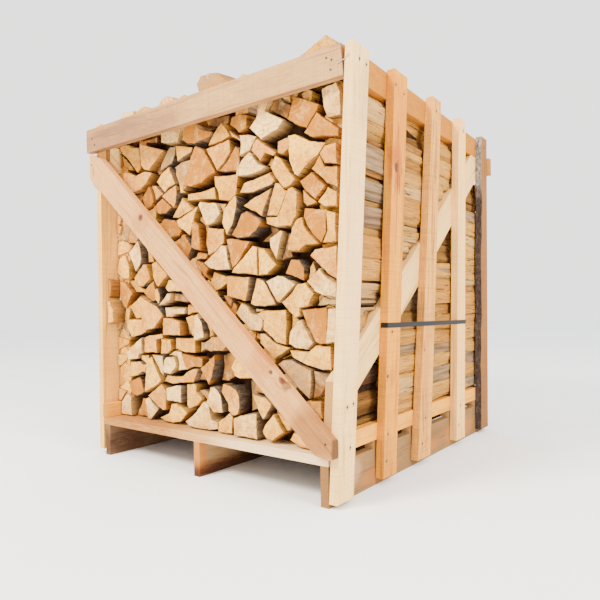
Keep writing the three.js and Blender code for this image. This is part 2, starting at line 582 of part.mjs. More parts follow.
// More logs stand behind the front brace, in a line under its middle
const BRACE_MIDDLE = 578;
const BRACE_FALL = 0.883;
const HIDDEN_PITCH = 76;
const HIDDEN_RADIUS = 39;
for (let x = -436; x < 440; x += HIDDEN_PITCH) {
  const corners = [];
  for (let k = 0; k < 6; k += 1) {
    const angle = (k + 0.3) * Math.PI / 3;
    const z = BRACE_MIDDLE - BRACE_FALL * x + HIDDEN_RADIUS * Math.sin(angle);
    corners.push(x + HIDDEN_RADIUS * Math.cos(angle), z);
  }
  logEnds.push(end(12, ...corners));
}

// Solids to join and cut
function toSolid(geometry) {
  const plain = geometry.clone();
  plain.deleteAttribute('normal');
  plain.deleteAttribute('uv');
  const welded = mergeVertices(plain, 1e-4);
  return new wasm.Manifold(new wasm.Mesh({
    numProp: 3,
    vertProperties: Float32Array.from(welded.attributes.position.array),
    triVerts: Uint32Array.from(welded.index.array),
  }));
}

function fromSolid(solid) {
  const { vertProperties, triVerts } = solid.getMesh();
  const geometry = new THREE.BufferGeometry();
  geometry.setAttribute('position', new THREE.BufferAttribute(vertProperties, 3));
  geometry.setIndex(new THREE.BufferAttribute(triVerts, 1));
  const faceted = geometry.toNonIndexed();
  faceted.computeVertexNormals();
  return faceted;
}

// A log of a given outline in X and Z, between two depths
function log(outline, front, back) {
  const shape = new THREE.Shape(outline.map(([x, z]) => new THREE.Vector2(x, z)));
  const prism = new THREE.ExtrudeGeometry(shape, { depth: 1, bevelEnabled: false });
  return reshape(prism, ({ x, y, z }) => new THREE.Vector3(x, z > 0.5 ? front : back, y));
}

// The space inside the side frames at a given depth, clear of the uprights by some way
const SLAT_CLEARANCE = 1.3;
function leftLimit(z, inset) {
  return -WIDTH / 2 + BOARD + inset + LEFT_LEAN * z;
}

function rightLimit(y, z, inset) {
  return WIDTH / 2 - BOARD - inset + rightLean(y) * z;
}

function innerBlock(frontOf, back, bottom, top, inset) {
  const block = new THREE.BoxGeometry(1, 1, 1, 1, 2, 3);
  return reshape(block, (corner) => {
    const front = frontOf(corner.x * 2 * FACE_REACH);
    const y = THREE.MathUtils.lerp(front, back, corner.y + 0.5);
    const z = THREE.MathUtils.lerp(bottom, top, corner.z + 0.5);
    const x = corner.x > 0 ? rightLimit(y, z, inset) : leftLimit(z, inset);
    return new THREE.Vector3(x, y, z);
  });
}

// Widths differ from row to row with the right side's lean, so an outline is stretched to fit its row.
// The second row is stacked the other way round, and the third bottom up, so that no two look alike.
const STACK_TOP = 1088;
const MIRRORED_ROW = 2;
const TURNED_ROW = 3;
function fitToRow(outline, row, y) {
  return outline.map(([x, z]) => {
    const traced = 2 * FACE_REACH + rightLean(FACE_RIGHT) * z;
    const share = (x + FACE_REACH) / traced;
    const newZ = row === TURNED_ROW ? LOG_FOOT + STACK_TOP - z : z;
    const here = 2 * FACE_REACH + rightLean(y) * newZ;
    return [(row === MIRRORED_ROW ? 1 - share : share) * here - FACE_REACH, newZ];
  });
}

// Drops the corners of an outline that stand off the line past them by less than a tolerance
function simplify(outline, tolerance) {
  const kept = [...outline];
  const point = new THREE.Vector3();
  const offset = (i) => {
    const [before, here, after] = [-1, 0, 1].map((k) => kept[(i + k + kept.length) % kept.length]);
    const line = new THREE.Line3(new THREE.Vector3(...before), new THREE.Vector3(...after));
    const corner = new THREE.Vector3(...here);
    return line.closestPointToPoint(corner, true, point).distanceTo(corner);
  };
  while (kept.length > 4) {
    const offsets = kept.map((_, i) => offset(i));
    const least = offsets.indexOf(Math.min(...offsets));
    if (offsets[least] > tolerance) {
      break;
    }
    kept.splice(least, 1);
  }
  return kept;
}

// Rows of logs. The first shows all its ends at the front and the last its larger ones at the back. The
// two between keep only the logs that reach the side frames or the top.
const ROWS = 4;
const ROW_FRONT = 40;
const CORE_DEPTH = 46;
const CORE_BACK = 1040;
const CORE_TOP = 1062;
const CORE_INSET = 14;
const LOG_FOOT = DECK_TOP + 2 * GAP;
const SIDE_REACH = 462;
const BACK_FACE = 1056;
const BACK_LIMIT = 1084;
const SIDE_BACK = 22;
const FRONT_TOLERANCE = 3;
const BACK_TOLERANCE = 10;
const LARGE_END = 5400;

const rails = ['right', 'left'].flatMap((side) => {
  return sideRails.map(({ sections }) => toSolid(sideRail(side, sections, 2 * GAP)));
});

for (let row = 1; row <= ROWS; row += 1) {
  const first = row === 1;
  const last = row === ROWS;
  const rowFront = ROW_FRONT + (row - 1) * ROW_PITCH;
  const rowBack = rowFront + LOG_LENGTH - 6;
  const coreFront = first ? (x) => stackFront(x) + CORE_DEPTH : () => rowFront;
  const coreBack = last ? CORE_BACK : rowBack;
  let solid = toSolid(innerBlock(coreFront, coreBack, LOG_FOOT, CORE_TOP, CORE_INSET));
  for (const { setBack, outline } of logEnds) {
    const fitted = first
      ? simplify(outline, FRONT_TOLERANCE)
      : simplify(fitToRow(outline, row, rowFront + LOG_LENGTH / 2), BACK_TOLERANCE);
    const xs = fitted.map(([x]) => x);
    const middle = (Math.min(...xs) + Math.max(...xs)) / 2;
    const top = Math.max(...fitted.map(([, z]) => z));
    const reachesOut = Math.max(...xs) > SIDE_REACH || Math.min(...xs) < -SIDE_REACH || top > CORE_TOP;
    const large = Math.abs(THREE.ShapeUtils.area(fitted.map(([x, y]) => ({ x, y })))) > LARGE_END;
    const nearest = top > FRONT_RAIL.leftZ[0] - 6 ? RAIL_CLEARANCE : 2;
    const logFront = first ? Math.max(stackFront(middle) + setBack, nearest) : rowFront;
    const atSide = Math.max(...xs) > SIDE_REACH ? SIDE_BACK : 0;
    const logBack = last ? Math.min(BACK_FACE + atSide - setBack, BACK_LIMIT) : rowBack;
    if (first || reachesOut || (last && large)) {
      solid = solid.add(toSolid(log(fitted, logFront, logBack)));
    }
  }
  solid = solid.intersect(toSolid(innerBlock(() => 0, DEPTH, LOG_FOOT, POST_TOP, SLAT_CLEARANCE)));
  for (const rail of rails) {
    solid = solid.subtract(rail);
  }
  addPiece(`log_row_${row}`, 'log', fromSolid(solid));
}

// Loose logs lie on top of the rows. Those at the front are seen end on: outline, depth and turn.
const TOP_LENGTH = 232;
function topLog(name, outline, front, turn, length = TOP_LENGTH) {
  const xs = outline.map(([x]) => x);
  const middle = (Math.min(...xs) + Math.max(...xs)) / 2;
  const centred = outline.map(([x, z]) => [x - middle, z]);
  const geometry = log(centred, 0, length);
  geometry.rotateZ(THREE.MathUtils.degToRad(turn)).translate(middle, front, 0);
  addPiece(name, 'log', geometry);
}

topLog(
  'top_log_1',
  [[-469, 1168], [-426, 1199], [-362, 1192], [-356, 1092], [-442, 1092], [-442, 1144.5], [-467, 1144.5]],
  60,
  0,
);
topLog('top_log_2', [[-349, 1182], [-309, 1194], [-262, 1176], [-262, 1090], [-346, 1090]], 58, -1);
topLog(
  'top_log_3',
  [[-236, 1180], [-221, 1196], [-195, 1204], [-165, 1196], [-149, 1178], [-152, 1088], [-228, 1088]],
  62,
  1,
);
topLog('top_log_4', [[-143, 1190], [-120, 1195], [-82, 1172], [-85, 1088], [-141, 1088]], 74, -1);
topLog(
  'top_log_5',
  [
    [-48, 1205], [-30, 1226], [15, 1226], [40, 1220], [75, 1198], [110, 1172],
    [112, 1088], [20, 1088], [-8, 1165], [-38, 1180],
  ],
  60,
  0,
);
topLog('top_log_6', [[120, 1172], [150, 1188], [163, 1183], [172, 1165], [172, 1064], [120, 1064]], 60, 0);
topLog(
  'top_log_7',
  [[352, 1146], [470, 1196], [503, 1168], [514, 1146], [506, 1080], [360, 1080]],
  27,
  3.5,
  220,
);

// Further back they lie side by side, split as halves, quarters and wedges: radius, spread of the split in
// degrees, roll and turn of each, from the left
function splitLog(radius, spread, roll) {
  const corners = [[0, 0]];
  const steps = Math.max(2, Math.round(spread / 36));
  for (let k = 0; k <= steps; k += 1) {
    const angle = THREE.MathUtils.degToRad(roll + spread * k / steps);
    corners.push([radius * Math.cos(angle), radius * Math.sin(angle)]);
  }
  const lowest = Math.min(...corners.map(([, z]) => z));
  return corners.map(([x, z]) => [x, REST + z - lowest]);
}

const REST = 1089;
const HEAP_LEFT = -440;
const HEAP_FRONT = 12;
const heap = {
  2: {
    spacing: 5,
    logs: [
      [62, 180, 0, 3], [96, 72, 56, -4], [66, 180, 0, -2], [98, 90, 40, 3], [62, 180, 0, 5], [90, 64, 62, -3],
      [52, 180, 0, 0],
    ],
  },
  3: {
    spacing: 16,
    logs: [
      [94, 84, 46, -3], [70, 180, 0, -6], [90, 70, 52, -1], [76, 180, 0, 4], [96, 76, 50, 1], [72, 180, 0, -2],
    ],
  },
  4: {
    spacing: 13,
    logs: [
      [74, 180, 0, -4], [92, 88, 44, 1], [72, 180, 0, 5], [95, 68, 58, 2], [70, 180, 0, -3], [84, 90, 45, 0],
    ],
  },
};
for (const [row, { spacing, logs }] of Object.entries(heap)) {
  let frontEdge = HEAP_LEFT;
  let backEdge = HEAP_LEFT;
  logs.forEach(([radius, spread, roll, turn], i) => {
    const corners = splitLog(radius, spread, roll);
    const xs = corners.map(([x]) => x);
    const low = Math.min(...xs);
    const width = Math.max(...xs) - low;
    const drift = -TOP_LENGTH * Math.sin(THREE.MathUtils.degToRad(turn));
    const left = Math.max(frontEdge, backEdge - drift);
    frontEdge = left + width + spacing;
    backEdge = frontEdge + drift;
    const outline = corners.map(([x, z]) => [x - low + left, z]);
    topLog(`top_log_row_${row}_${i + 1}`, outline, ROW_FRONT + (row - 1) * ROW_PITCH + HEAP_FRONT, turn);
  });
}

crate.position.set(0, -DEPTH / 2, 0);

export default crate;
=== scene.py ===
# The looks of a crate of split beech firewood: unplaned boards, split logs, nails, a wire tie and a strap.
# Metres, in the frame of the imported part: the crate's front faces -Y and it stands on Z = 0.
import math
import random

import bmesh
import bpy
from mathutils import Matrix, Vector, noise
from mathutils.bvhtree import BVHTree


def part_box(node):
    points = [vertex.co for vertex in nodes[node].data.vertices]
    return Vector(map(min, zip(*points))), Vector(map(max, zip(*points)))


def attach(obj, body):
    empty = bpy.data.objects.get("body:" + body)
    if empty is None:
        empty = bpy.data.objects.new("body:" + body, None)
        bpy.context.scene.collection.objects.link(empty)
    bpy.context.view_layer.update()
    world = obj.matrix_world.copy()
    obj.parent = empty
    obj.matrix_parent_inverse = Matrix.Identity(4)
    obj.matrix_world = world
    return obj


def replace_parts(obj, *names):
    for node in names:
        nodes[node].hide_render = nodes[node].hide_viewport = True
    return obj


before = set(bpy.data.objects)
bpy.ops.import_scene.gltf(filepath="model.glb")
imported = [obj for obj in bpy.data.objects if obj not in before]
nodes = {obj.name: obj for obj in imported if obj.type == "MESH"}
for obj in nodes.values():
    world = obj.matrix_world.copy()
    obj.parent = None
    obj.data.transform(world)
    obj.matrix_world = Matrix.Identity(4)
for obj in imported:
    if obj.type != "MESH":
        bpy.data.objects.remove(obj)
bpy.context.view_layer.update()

# Camera. It stands off the crate's right front corner, about half way up the crate's height, and looks
# almost level. Its place and lens were fitted to the corners of the boards in the photograph.
CAMERA_PLACE = (1.2795, -1.7077, 0.5070)
CAMERA_HEADING = math.radians(37.209)
CAMERA_TILT = math.radians(90.497)
CAMERA_ROLL = math.radians(-0.883)

eye = bpy.data.cameras.new("photograph view")
eye.sensor_width = 36.0
eye.lens = 34.11
eye.clip_start = 0.05
camera = bpy.data.objects.new("photograph view", eye)
camera.matrix_world = (
    Matrix.Translation(CAMERA_PLACE)
    @ Matrix.Rotation(CAMERA_HEADING, 4, "Z")
    @ Matrix.Rotation(CAMERA_TILT, 4, "X")
    @ Matrix.Rotation(CAMERA_ROLL, 4, "Z")
)
bpy.context.scene.collection.objects.link(camera)
bpy.context.scene.camera = camera

# Studio. A white room gives the soft light. A broad warm lamp high in front shapes the log ends, and one
# from the right keeps the slatted side bright. The floor is plain and pale.
world = bpy.data.worlds.new("white room")
world.use_nodes = True
sky = world.node_tree.nodes["Background"]
sky.inputs["Color"].default_value = (1.0, 0.995, 0.985, 1.0)
sky.inputs["Strength"].default_value = 2.35
bpy.context.scene.world = world

LAMP_COLOUR = (1.0, 0.90, 0.76)


def lamp(name, place, aim, size, power):
    """A round lamp that shines at a point."""
    light = bpy.data.lights.new(name, "AREA")
    light.shape = "DISK"
    light.size = size
    light.energy = power
    light.color = LAMP_COLOUR
    holder = bpy.data.objects.new(name, light)
    holder.location = place
    holder.rotation_euler = (Vector(aim) - Vector(place)).to_track_quat("-Z", "Y").to_euler()
    bpy.context.scene.collection.objects.link(holder)


lamp("front lamp", (-0.9, -4.0, 4.0), (0.0, -0.4, 0.6), 1.6, 580.0)
lamp("side lamp", (4.4, -0.9, 3.2), (0.5, 0.0, 0.6), 1.8, 340.0)


def add(tree, kind, inputs=None, **settings):
    """A shader node with its settings, and each input set to a value or joined to a socket."""
    made = tree.nodes.new(kind)
    for key, value in settings.items():
        setattr(made, key, value)
    for key, value in (inputs or {}).items():
        if isinstance(value, bpy.types.NodeSocket):
            tree.links.new(value, made.inputs[key])
        else:
            made.inputs[key].default_value = value
    return made


def new_material(name):
    """A material, its node tree and its shader."""
    material = bpy.data.materials.new(name)
    material.use_nodes = True
    tree = material.node_tree
    return material, tree, tree.nodes["Principled BSDF"]


def ramp(tree, factor, *stops):
    """A ramp over a factor, each stop a place and a colour or a grey value."""
    made = add(tree, "ShaderNodeValToRGB", {"Fac": factor})
    band = made.color_ramp
    while len(band.elements) < len(stops):
        band.elements.new(0.5)
    for element, (place, value) in zip(band.elements, stops):
        element.position = place
        element.color = value if isinstance(value, tuple) else (value, value, value, 1.0)
    return made.outputs["Color"]


def noise_of(tree, place, scale, detail=4.0, roughness=0.55):
    """An uneven grey between 0 and 1."""
    inputs = {"Vector": place, "Scale": scale, "Detail": detail, "Roughness": roughness}
    return add(tree, "ShaderNodeTexNoise", inputs).outputs["Fac"]


FLOOR_RADIUS = 14.0
FLOOR_SHADES = ((0.90, 0.925, 0.95, 1.0), (0.93, 0.95, 0.97, 1.0))

floor_material, tree, shader = new_material("pale studio floor")
place = add(tree, "ShaderNodeTexCoord").outputs["Object"]
shade = ramp(tree, noise_of(tree, place, 3.0), (0.3, FLOOR_SHADES[0]), (0.7, FLOOR_SHADES[1]))
tree.links.new(shade, shader.inputs["Base Color"])
shader.inputs["Roughness"].default_value = 0.9

bm = bmesh.new()
bmesh.ops.create_circle(bm, cap_ends=True, segments=64, radius=FLOOR_RADIUS)
floor_mesh = bpy.data.meshes.new("studio floor")
bm.to_mesh(floor_mesh)
bm.free()
floor = bpy.data.objects.new("studio_floor", floor_mesh)
floor_mesh.materials.append(floor_material)
bpy.context.scene.collection.objects.link(floor)

# Front and back frames. One board nailed across the top of each and one brace aslant below it, rough from
# the saw: grain along the board, the blade's fine marks across it, a few knots and grey nail stains.

DEPTH = 1.088
BOARD = 0.024
ALONG_X = (1.0, 0.0, 0.0)
ALONG_Y = (0.0, 1.0, 0.0)
ALONG_Z = (0.0, 0.0, 1.0)


def colour(hex_code):
    """A screen colour such as d9a066 as linear light."""
    screen = [int(hex_code[i:i + 2], 16) / 255 for i in (0, 2, 4)]
    return (*[((c + 0.055) / 1.055) ** 2.4 if c > 0.04045 else c / 12.92 for c in screen], 1.0)


def mixed(tree, share, low, high):
    """One colour or place that goes over into another by a share of 0 to 1."""
    return add(tree, "ShaderNodeMix", {"Factor": share, 6: low, 7: high}, data_type="RGBA").outputs[2]


def stretched(tree, place, sizes):
    """Coordinates divided by a pattern's size along each axis."""
    scales = tuple(1.0 / size for size in sizes)
    return add(tree, "ShaderNodeMapping", {"Vector": place, "Scale": scales}).outputs["Vector"]


def calc(tree, operation, *values):
    """A sum on single values."""
    return add(tree, "ShaderNodeMath", dict(enumerate(values)), operation=operation).outputs[0]


def calc_place(tree, operation, *values):
    """A sum on places or directions, which gives another."""
    made = add(tree, "ShaderNodeVectorMath", dict(enumerate(values)), operation=operation)
    return made.outputs["Vector"]


def calc_measure(tree, operation, *values):
    """A sum on places or directions, which gives a single value."""
    made = add(tree, "ShaderNodeVectorMath", dict(enumerate(values)), operation=operation)
    return made.outputs["Value"]


def rise(tree, value, start, end, kind="LINEAR"):
    """0 to 1 while a value goes from a start to an end."""
    inputs = {"Value": value, "From Min": start, "From Max": end}
    return add(tree, "ShaderNodeMapRange", inputs, interpolation_type=kind).outputs["Result"]


def blot(tree, place, middle, sizes, ragged=0.35):
    """A soft-edged patch round a point, with its half sizes along the three axes."""
    scaled = calc_place(tree, "DIVIDE", calc_place(tree, "SUBTRACT", place, middle), sizes)
    waver = add(tree, "ShaderNodeTexNoise", {"Vector": place, "Scale": 0.35 / min(sizes), "Detail": 2.0})
    shaken = calc_place(tree, "MULTIPLY_ADD", waver.outputs["Color"], (2 * ragged,) * 3, scaled)
    centred = calc_place(tree, "SUBTRACT", shaken, (ragged,) * 3)
    return rise(tree, calc_measure(tree, "LENGTH", centred), 1.15, 0.55, "SMOOTHSTEP")


def facing(tree, direction):
    """1 where a surface faces a direction, 0 elsewhere."""
    normal = add(tree, "ShaderNodeNewGeometry").outputs["Normal"]
    return rise(tree, calc_measure(tree, "DOT_PRODUCT", normal, direction), 0.55, 0.75)


KNOT_SWING = (0.0, 0.030, 0.030)


def swing_round_knots(tree, place, grain, knots):
    """Grain that bends near each knot, and a mask of the knots themselves."""
    mask = 0.0
    for x, y, z, radius in knots:
        away = calc_measure(tree, "DISTANCE", place, (x, y, z))
        near = rise(tree, away, radius * 3.4, radius * 0.4, "SMOOTHSTEP")
        grain = mixed(tree, near, grain, calc_place(tree, "ADD", grain, KNOT_SWING))
        mask = calc(tree, "MAXIMUM", mask, blot(tree, place, (x, y, z), (radius,) * 3, 0.3))
    return grain, mask


def end_grain_over(tree, place, tone, direction, dark):
    """A board's colour with darker, browner end grain on the faces at its two ends."""
    length = Vector(direction).normalized()
    ends = calc(tree, "MAXIMUM", facing(tree, tuple(length)), facing(tree, tuple(-length)))
    pores = noise_of(tree, place, 420.0, 3.0, 0.7)
    return mixed(tree, ends, tone, ramp(tree, pores, (0.35, colour("946632")), (0.65, colour(dark))))


def bark_over(tree, place, tone, relief, direction):
    """A board's colour and relief with bark on one edge, which is paler towards the top."""
    edge = facing(tree, direction)
    flakes = noise_of(tree, stretched(tree, place, (0.008, 0.008, 0.016)), 1.0, 5.0, 0.7)
    low_bark = ramp(
        tree, flakes, (0.35, colour("2a211c")), (0.55, colour("453a35")), (0.72, colour("6a5f59"))
    )
    high_bark = ramp(
        tree, flakes, (0.35, colour("4c453e")), (0.50, colour("7d766e")), (0.68, colour("a9a39b"))
    )
    height = add(tree, "ShaderNodeSeparateXYZ", {"Vector": place}).outputs["Z"]
    bark = mixed(tree, rise(tree, height, 0.90, 0.97), low_bark, high_bark)
    return mixed(tree, edge, tone, bark), calc(tree, "MULTIPLY_ADD", edge, flakes, relief)


def sawn_board(
    name, direction, light, dark, streak, stain, seed, knots=(), saw=0.5, blots=(), bark=None
):
    """Unplaned timber whose grain runs along a direction. knots are (x, y, z, radius) in metres, blots are
    (middle, half sizes, colour, share), and bark is the way that the board's bark edge faces."""
    material, tree, shader = new_material(name)
    place = add(tree, "ShaderNodeTexCoord").outputs["Object"]
    turn = Vector(direction).rotation_difference(Vector(ALONG_X)).to_euler()
    shift = (seed, seed * 0.37, seed * 0.61)
    turning = {"Vector": place, "Rotation": tuple(turn), "Location": shift}
    along = add(tree, "ShaderNodeMapping", turning).outputs["Vector"]

    # The grain wanders a little from the board's own line, and swings round each knot
    wandering = {"Vector": stretched(tree, along, (0.7, 0.12, 0.12)), "Scale": 1.0, "Detail": 2.0}
    wander = add(tree, "ShaderNodeTexNoise", wandering).outputs["Color"]
    grain = calc_place(tree, "MULTIPLY_ADD", wander, (0.0, 0.07, 0.07), along)
    grain, knot_mask = swing_round_knots(tree, place, grain, knots)

    bands = noise_of(tree, stretched(tree, grain, (0.8, 0.013, 0.013)), 1.0, 5.0, 0.6)
    fibres = noise_of(tree, stretched(tree, grain, (0.06, 0.0018, 0.0018)), 1.0, 3.0, 0.6)
    patches = noise_of(tree, stretched(tree, along, (0.22, 0.05, 0.05)), 1.0, 3.0, 0.6)
    marks = noise_of(tree, stretched(tree, along, (0.0035, 0.25, 0.25)), 1.0, 3.0, 0.7)

    tone = ramp(
        tree, bands,
        (0.30, colour(dark)), (0.46, colour(light)), (0.60, colour(light)), (0.74, colour(streak)),
    )
    tone = mixed(tree, ramp(tree, fibres, (0.33, 0.45), (0.60, 0.0)), tone, colour(dark))
    tone = mixed(tree, ramp(tree, patches, (0.46, 0.0), (0.70, stain)), tone, colour(streak))
    tone = mixed(tree, ramp(tree, marks, (0.36, 0.45 * saw), (0.52, 0.0)), tone, colour(dark))
    tone = end_grain_over(tree, place, tone, direction, dark)

    # Specks, stains and knots
    speckle = noise_of(tree, place, 260.0, 2.0, 0.5)
    tone = mixed(tree, ramp(tree, speckle, (0.27, 0.40), (0.36, 0.0)), tone, colour("6b4f38"))
    for middle, sizes, blot_colour, share in blots:
        broken = ramp(tree, fibres, (0.30, share), (0.75, share * 0.45))
        mask = calc(tree, "MULTIPLY", blot(tree, place, middle, sizes), broken)
        tone = mixed(tree, mask, tone, blot_colour)
    heart = noise_of(tree, place, 160.0, 3.0)
    knot_tone = ramp(tree, heart, (0.35, colour("3a2113")), (0.65, colour("7d4a26")))
    tone = mixed(tree, knot_mask, tone, knot_tone)

    relief = calc(tree, "MULTIPLY_ADD", fibres, 0.5, bands)
    relief = calc(tree, "MULTIPLY_ADD", marks, 0.8 * saw, relief)
    if bark:
        tone, relief = bark_over(tree, place, tone, relief, bark)
    tree.links.new(tone, shader.inputs["Base Color"])
    shader.inputs["Roughness"].default_value = 0.8
    shader.inputs["Specular IOR Level"].default_value = 0.2
    bump = add(tree, "ShaderNodeBump", {"Height": relief, "Strength": 0.6, "Distance": 0.0016})
    tree.links.new(bump.outputs["Normal"], shader.inputs["Normal"])
    return material


EDGE_WEAR = 0.0014


def dress(name, material):
    """Gives a board of the frame its wood, and edges that are worn a little round."""
    node = nodes[name]
    node.data.materials.clear()
    node.data.materials.append(material)
    edge = node.modifiers.new("worn edges", "BEVEL")
    edge.width = EDGE_WEAR
    edge.segments = 2
    edge.limit_method = "ANGLE"
    edge.angle_limit = math.radians(50)


FRONT_BRACE_SLOPE = -0.883
BACK_BRACE_SLOPE = 0.83
PALE = ("c0945a", "8a6242", "986438")
PINKISH = ("d49c5c", "94663a", "c37630")

dress("front_rail", sawn_board(
    "front rail", ALONG_X, *PALE, 0.4, 1.3, saw=0.7,
    blots=[
        ((-0.34, -0.56, 1.085), (0.32, 0.05, 0.06), colour("80593c"), 0.95),
        ((-0.36, -0.56, 1.10), (0.15, 0.05, 0.02), colour("6b4a36"), 0.55),
    ],
))
dress("front_brace", sawn_board(
    "front brace", (1.0, 0.0, FRONT_BRACE_SLOPE), *PINKISH, 0.6, 4.7,
    knots=[(-0.220, -0.568, 0.794, 0.013), (0.314, -0.568, 0.332, 0.007), (0.354, -0.568, 0.316, 0.015)],
    blots=[
        ((-0.478, -0.57, 0.980), (0.003, 0.02, 0.022), colour("2c211b"), 0.9),
        ((0.28, -0.57, 0.36), (0.05, 0.05, 0.05), colour("a85f22"), 0.6),
        ((0.362, -0.57, 0.300), (0.016, 0.03, 0.020), colour("4a2c18"), 0.8),
        ((0.45, -0.57, 0.190), (0.095, 0.05, 0.075), colour("7c4a1c"), 0.9),
        # The brace's right end: painted shade of the post, and dirt
        ((0.510, -0.556, 0.150), (0.010, 0.05, 0.060), colour("4e321c"), 0.95),
        ((-0.22, -0.57, 0.78), (0.05, 0.05, 0.04), colour("9c6632"), 0.5),
    ],
))
dress("back_rail", sawn_board("back rail", ALONG_X, "c98f48", "93612e", "ae6e30", 0.5, 8.1))
dress("back_brace", sawn_board("back brace", (1.0, 0.0, BACK_BRACE_SLOPE), *PINKISH, 0.45, 6.4))

# Side frames. Five uprights stand outside two rails and a brace, each cut from another tree: two are cream,
# one is orange with a knot, one tan with dark cracks, and the last keeps the bark along its edge.
HALF_WIDTH = 0.5
LEFT_LEAN = 0.005
SIDE_BRACE_SLOPE = 0.781


def right_lean(y):
    """How far the right side leans out for each metre of height, y metres behind the front posts."""
    return 0.061 - 0.049 * y / DEPTH


def at_side(side, y, z):
    """A place on a side frame's outer face. The left side's y runs forwards from the back."""
    if side == "right":
        return (HALF_WIDTH + right_lean(y) * z, y - DEPTH / 2, z)
    return (-HALF_WIDTH + LEFT_LEAN * z, DEPTH / 2 - y, z)


# The nails of each upright: how far from the front post's outer edge, and how high
SIDE_NAILS = {
    "front_post": [(0.031, 1.106), (0.067, 1.104), (0.031, 0.251), (0.059, 0.256), (0.051, 0.146)],
    "second_slat": [(0.240, 1.108), (0.294, 1.098), (0.260, 0.428), (0.251, 0.142), (0.247, 0.067)],
    "third_slat": [(0.545, 1.118), (0.499, 0.146), (0.480, 0.068)],
    "fourth_slat": [(0.804, 1.118), (0.793, 0.141), (0.780, 0.072)],
    "back_post": [(1.052, 1.112), (1.035, 0.116)],
}
CREAM = ("f6d288", "cf9858", "eab05c")
CREAM_SLAT = ("f8ca78", "d89a50", "ecae54")
ORANGE = ("e89c1a", "9c5c12", "be6a10")
TAN = ("eaa642", "8a5a30", "a4703a")
BROWN = ("925e26", "62401e", "76481e")
LEFT_FRONT_POST = ("f2bc5a", "bc823e", "d6943c")
UPRIGHT_WOOD = {
    "front_post": CREAM, "second_slat": ORANGE, "third_slat": TAN, "fourth_slat": CREAM_SLAT,
    "back_post": BROWN,
}
UPRIGHT_SEEDS = {
    "front_post": 2.2, "second_slat": 3.4, "third_slat": 5.9, "fourth_slat": 7.7, "back_post": 27.0,
}
OWN_KNOTS = {
    "second_slat": [(0.258, 0.885, 0.015), (0.240, 0.305, 0.008)],
    "third_slat": [(0.482, 0.36, 0.005)],
}

# Marks of single uprights: place, half sizes along Y and Z, colour and share
DARK_CRACK = colour("33201a")
NAIL_STAIN = colour("5d5046")
OWN_BLOTS = {
    "front_post": [
        ((0.05, 0.60), (0.060, 0.66), colour("f4c48c"), 0.75),
        ((0.06, 1.02), (0.030, 0.10), colour("9c8068"), 0.35),
    ],
    "second_slat": [
        ((0.255, 1.00), (0.060, 0.16), colour("c0701c"), 0.65),
        ((0.255, 0.885), (0.046, 0.090), colour("a65410"), 0.95),
        ((0.242, 0.850), (0.008, 0.050), colour("f0c080"), 0.30),
        ((0.268, 0.868), (0.006, 0.050), colour("6a3010"), 0.85),
        ((0.280, 0.840), (0.005, 0.040), colour("5a2c10"), 0.80),
        ((0.265, 0.98), (0.004, 0.035), colour("5a3420"), 0.7),
        ((0.250, 0.74), (0.030, 0.08), colour("c8741e"), 0.5),
        ((0.27, 0.30), (0.02, 0.03), colour("a3662a"), 0.6),
        ((0.26, 0.07), (0.05, 0.07), colour("a86a30"), 0.45),
    ],
    "third_slat": [
        ((0.482, 0.470), (0.0022, 0.050), DARK_CRACK, 0.95),
        ((0.478, 0.375), (0.004, 0.022), DARK_CRACK, 0.9),
        ((0.500, 0.215), (0.003, 0.020), DARK_CRACK, 0.9),
        ((0.486, 0.130), (0.003, 0.050), DARK_CRACK, 0.8),
        ((0.505, 0.060), (0.003, 0.040), DARK_CRACK, 0.7),
        ((0.546, 0.98), (0.007, 0.12), colour("7d4a2a"), 0.85),
        ((0.526, 0.82), (0.007, 0.14), colour("9c5c30"), 0.75),
        ((0.534, 0.93), (0.0025, 0.06), DARK_CRACK, 0.8),
        ((0.532, 0.68), (0.0035, 0.06), DARK_CRACK, 0.8),
        ((0.500, 0.28), (0.030, 0.20), colour("b06c40"), 0.45),
    ],
    "fourth_slat": [
        ((0.792, 0.90), (0.0022, 0.03), DARK_CRACK, 0.5),
        ((0.772, 0.62), (0.016, 0.30), colour("d9a066"), 0.5),
    ],
    "back_post": [
        ((1.060, 1.02), (0.008, 0.07), colour("6e4526"), 0.8),
        ((1.050, 0.12), (0.003, 0.05), DARK_CRACK, 0.8),
    ],
}
RAIL_WOOD = {
    "top_rail": (ALONG_Y, ("b8740c", "86500e", "98580c"), 13.3),
    "foot_rail": (ALONG_Y, ("f0a626", "b87a20", "c88018"), 15.6),
    "brace": ((0.0, 1.0, SIDE_BRACE_SLOPE), ("eec47a", "bb8c4a", "d09c4e"), 17.5),
}

# The left frame is the right one turned half round, so its front post is the other's back one
TURNED_NAMES = {
    "front_post": "back_post", "second_slat": "fourth_slat", "third_slat": "third_slat",
    "fourth_slat": "second_slat", "back_post": "front_post",
}

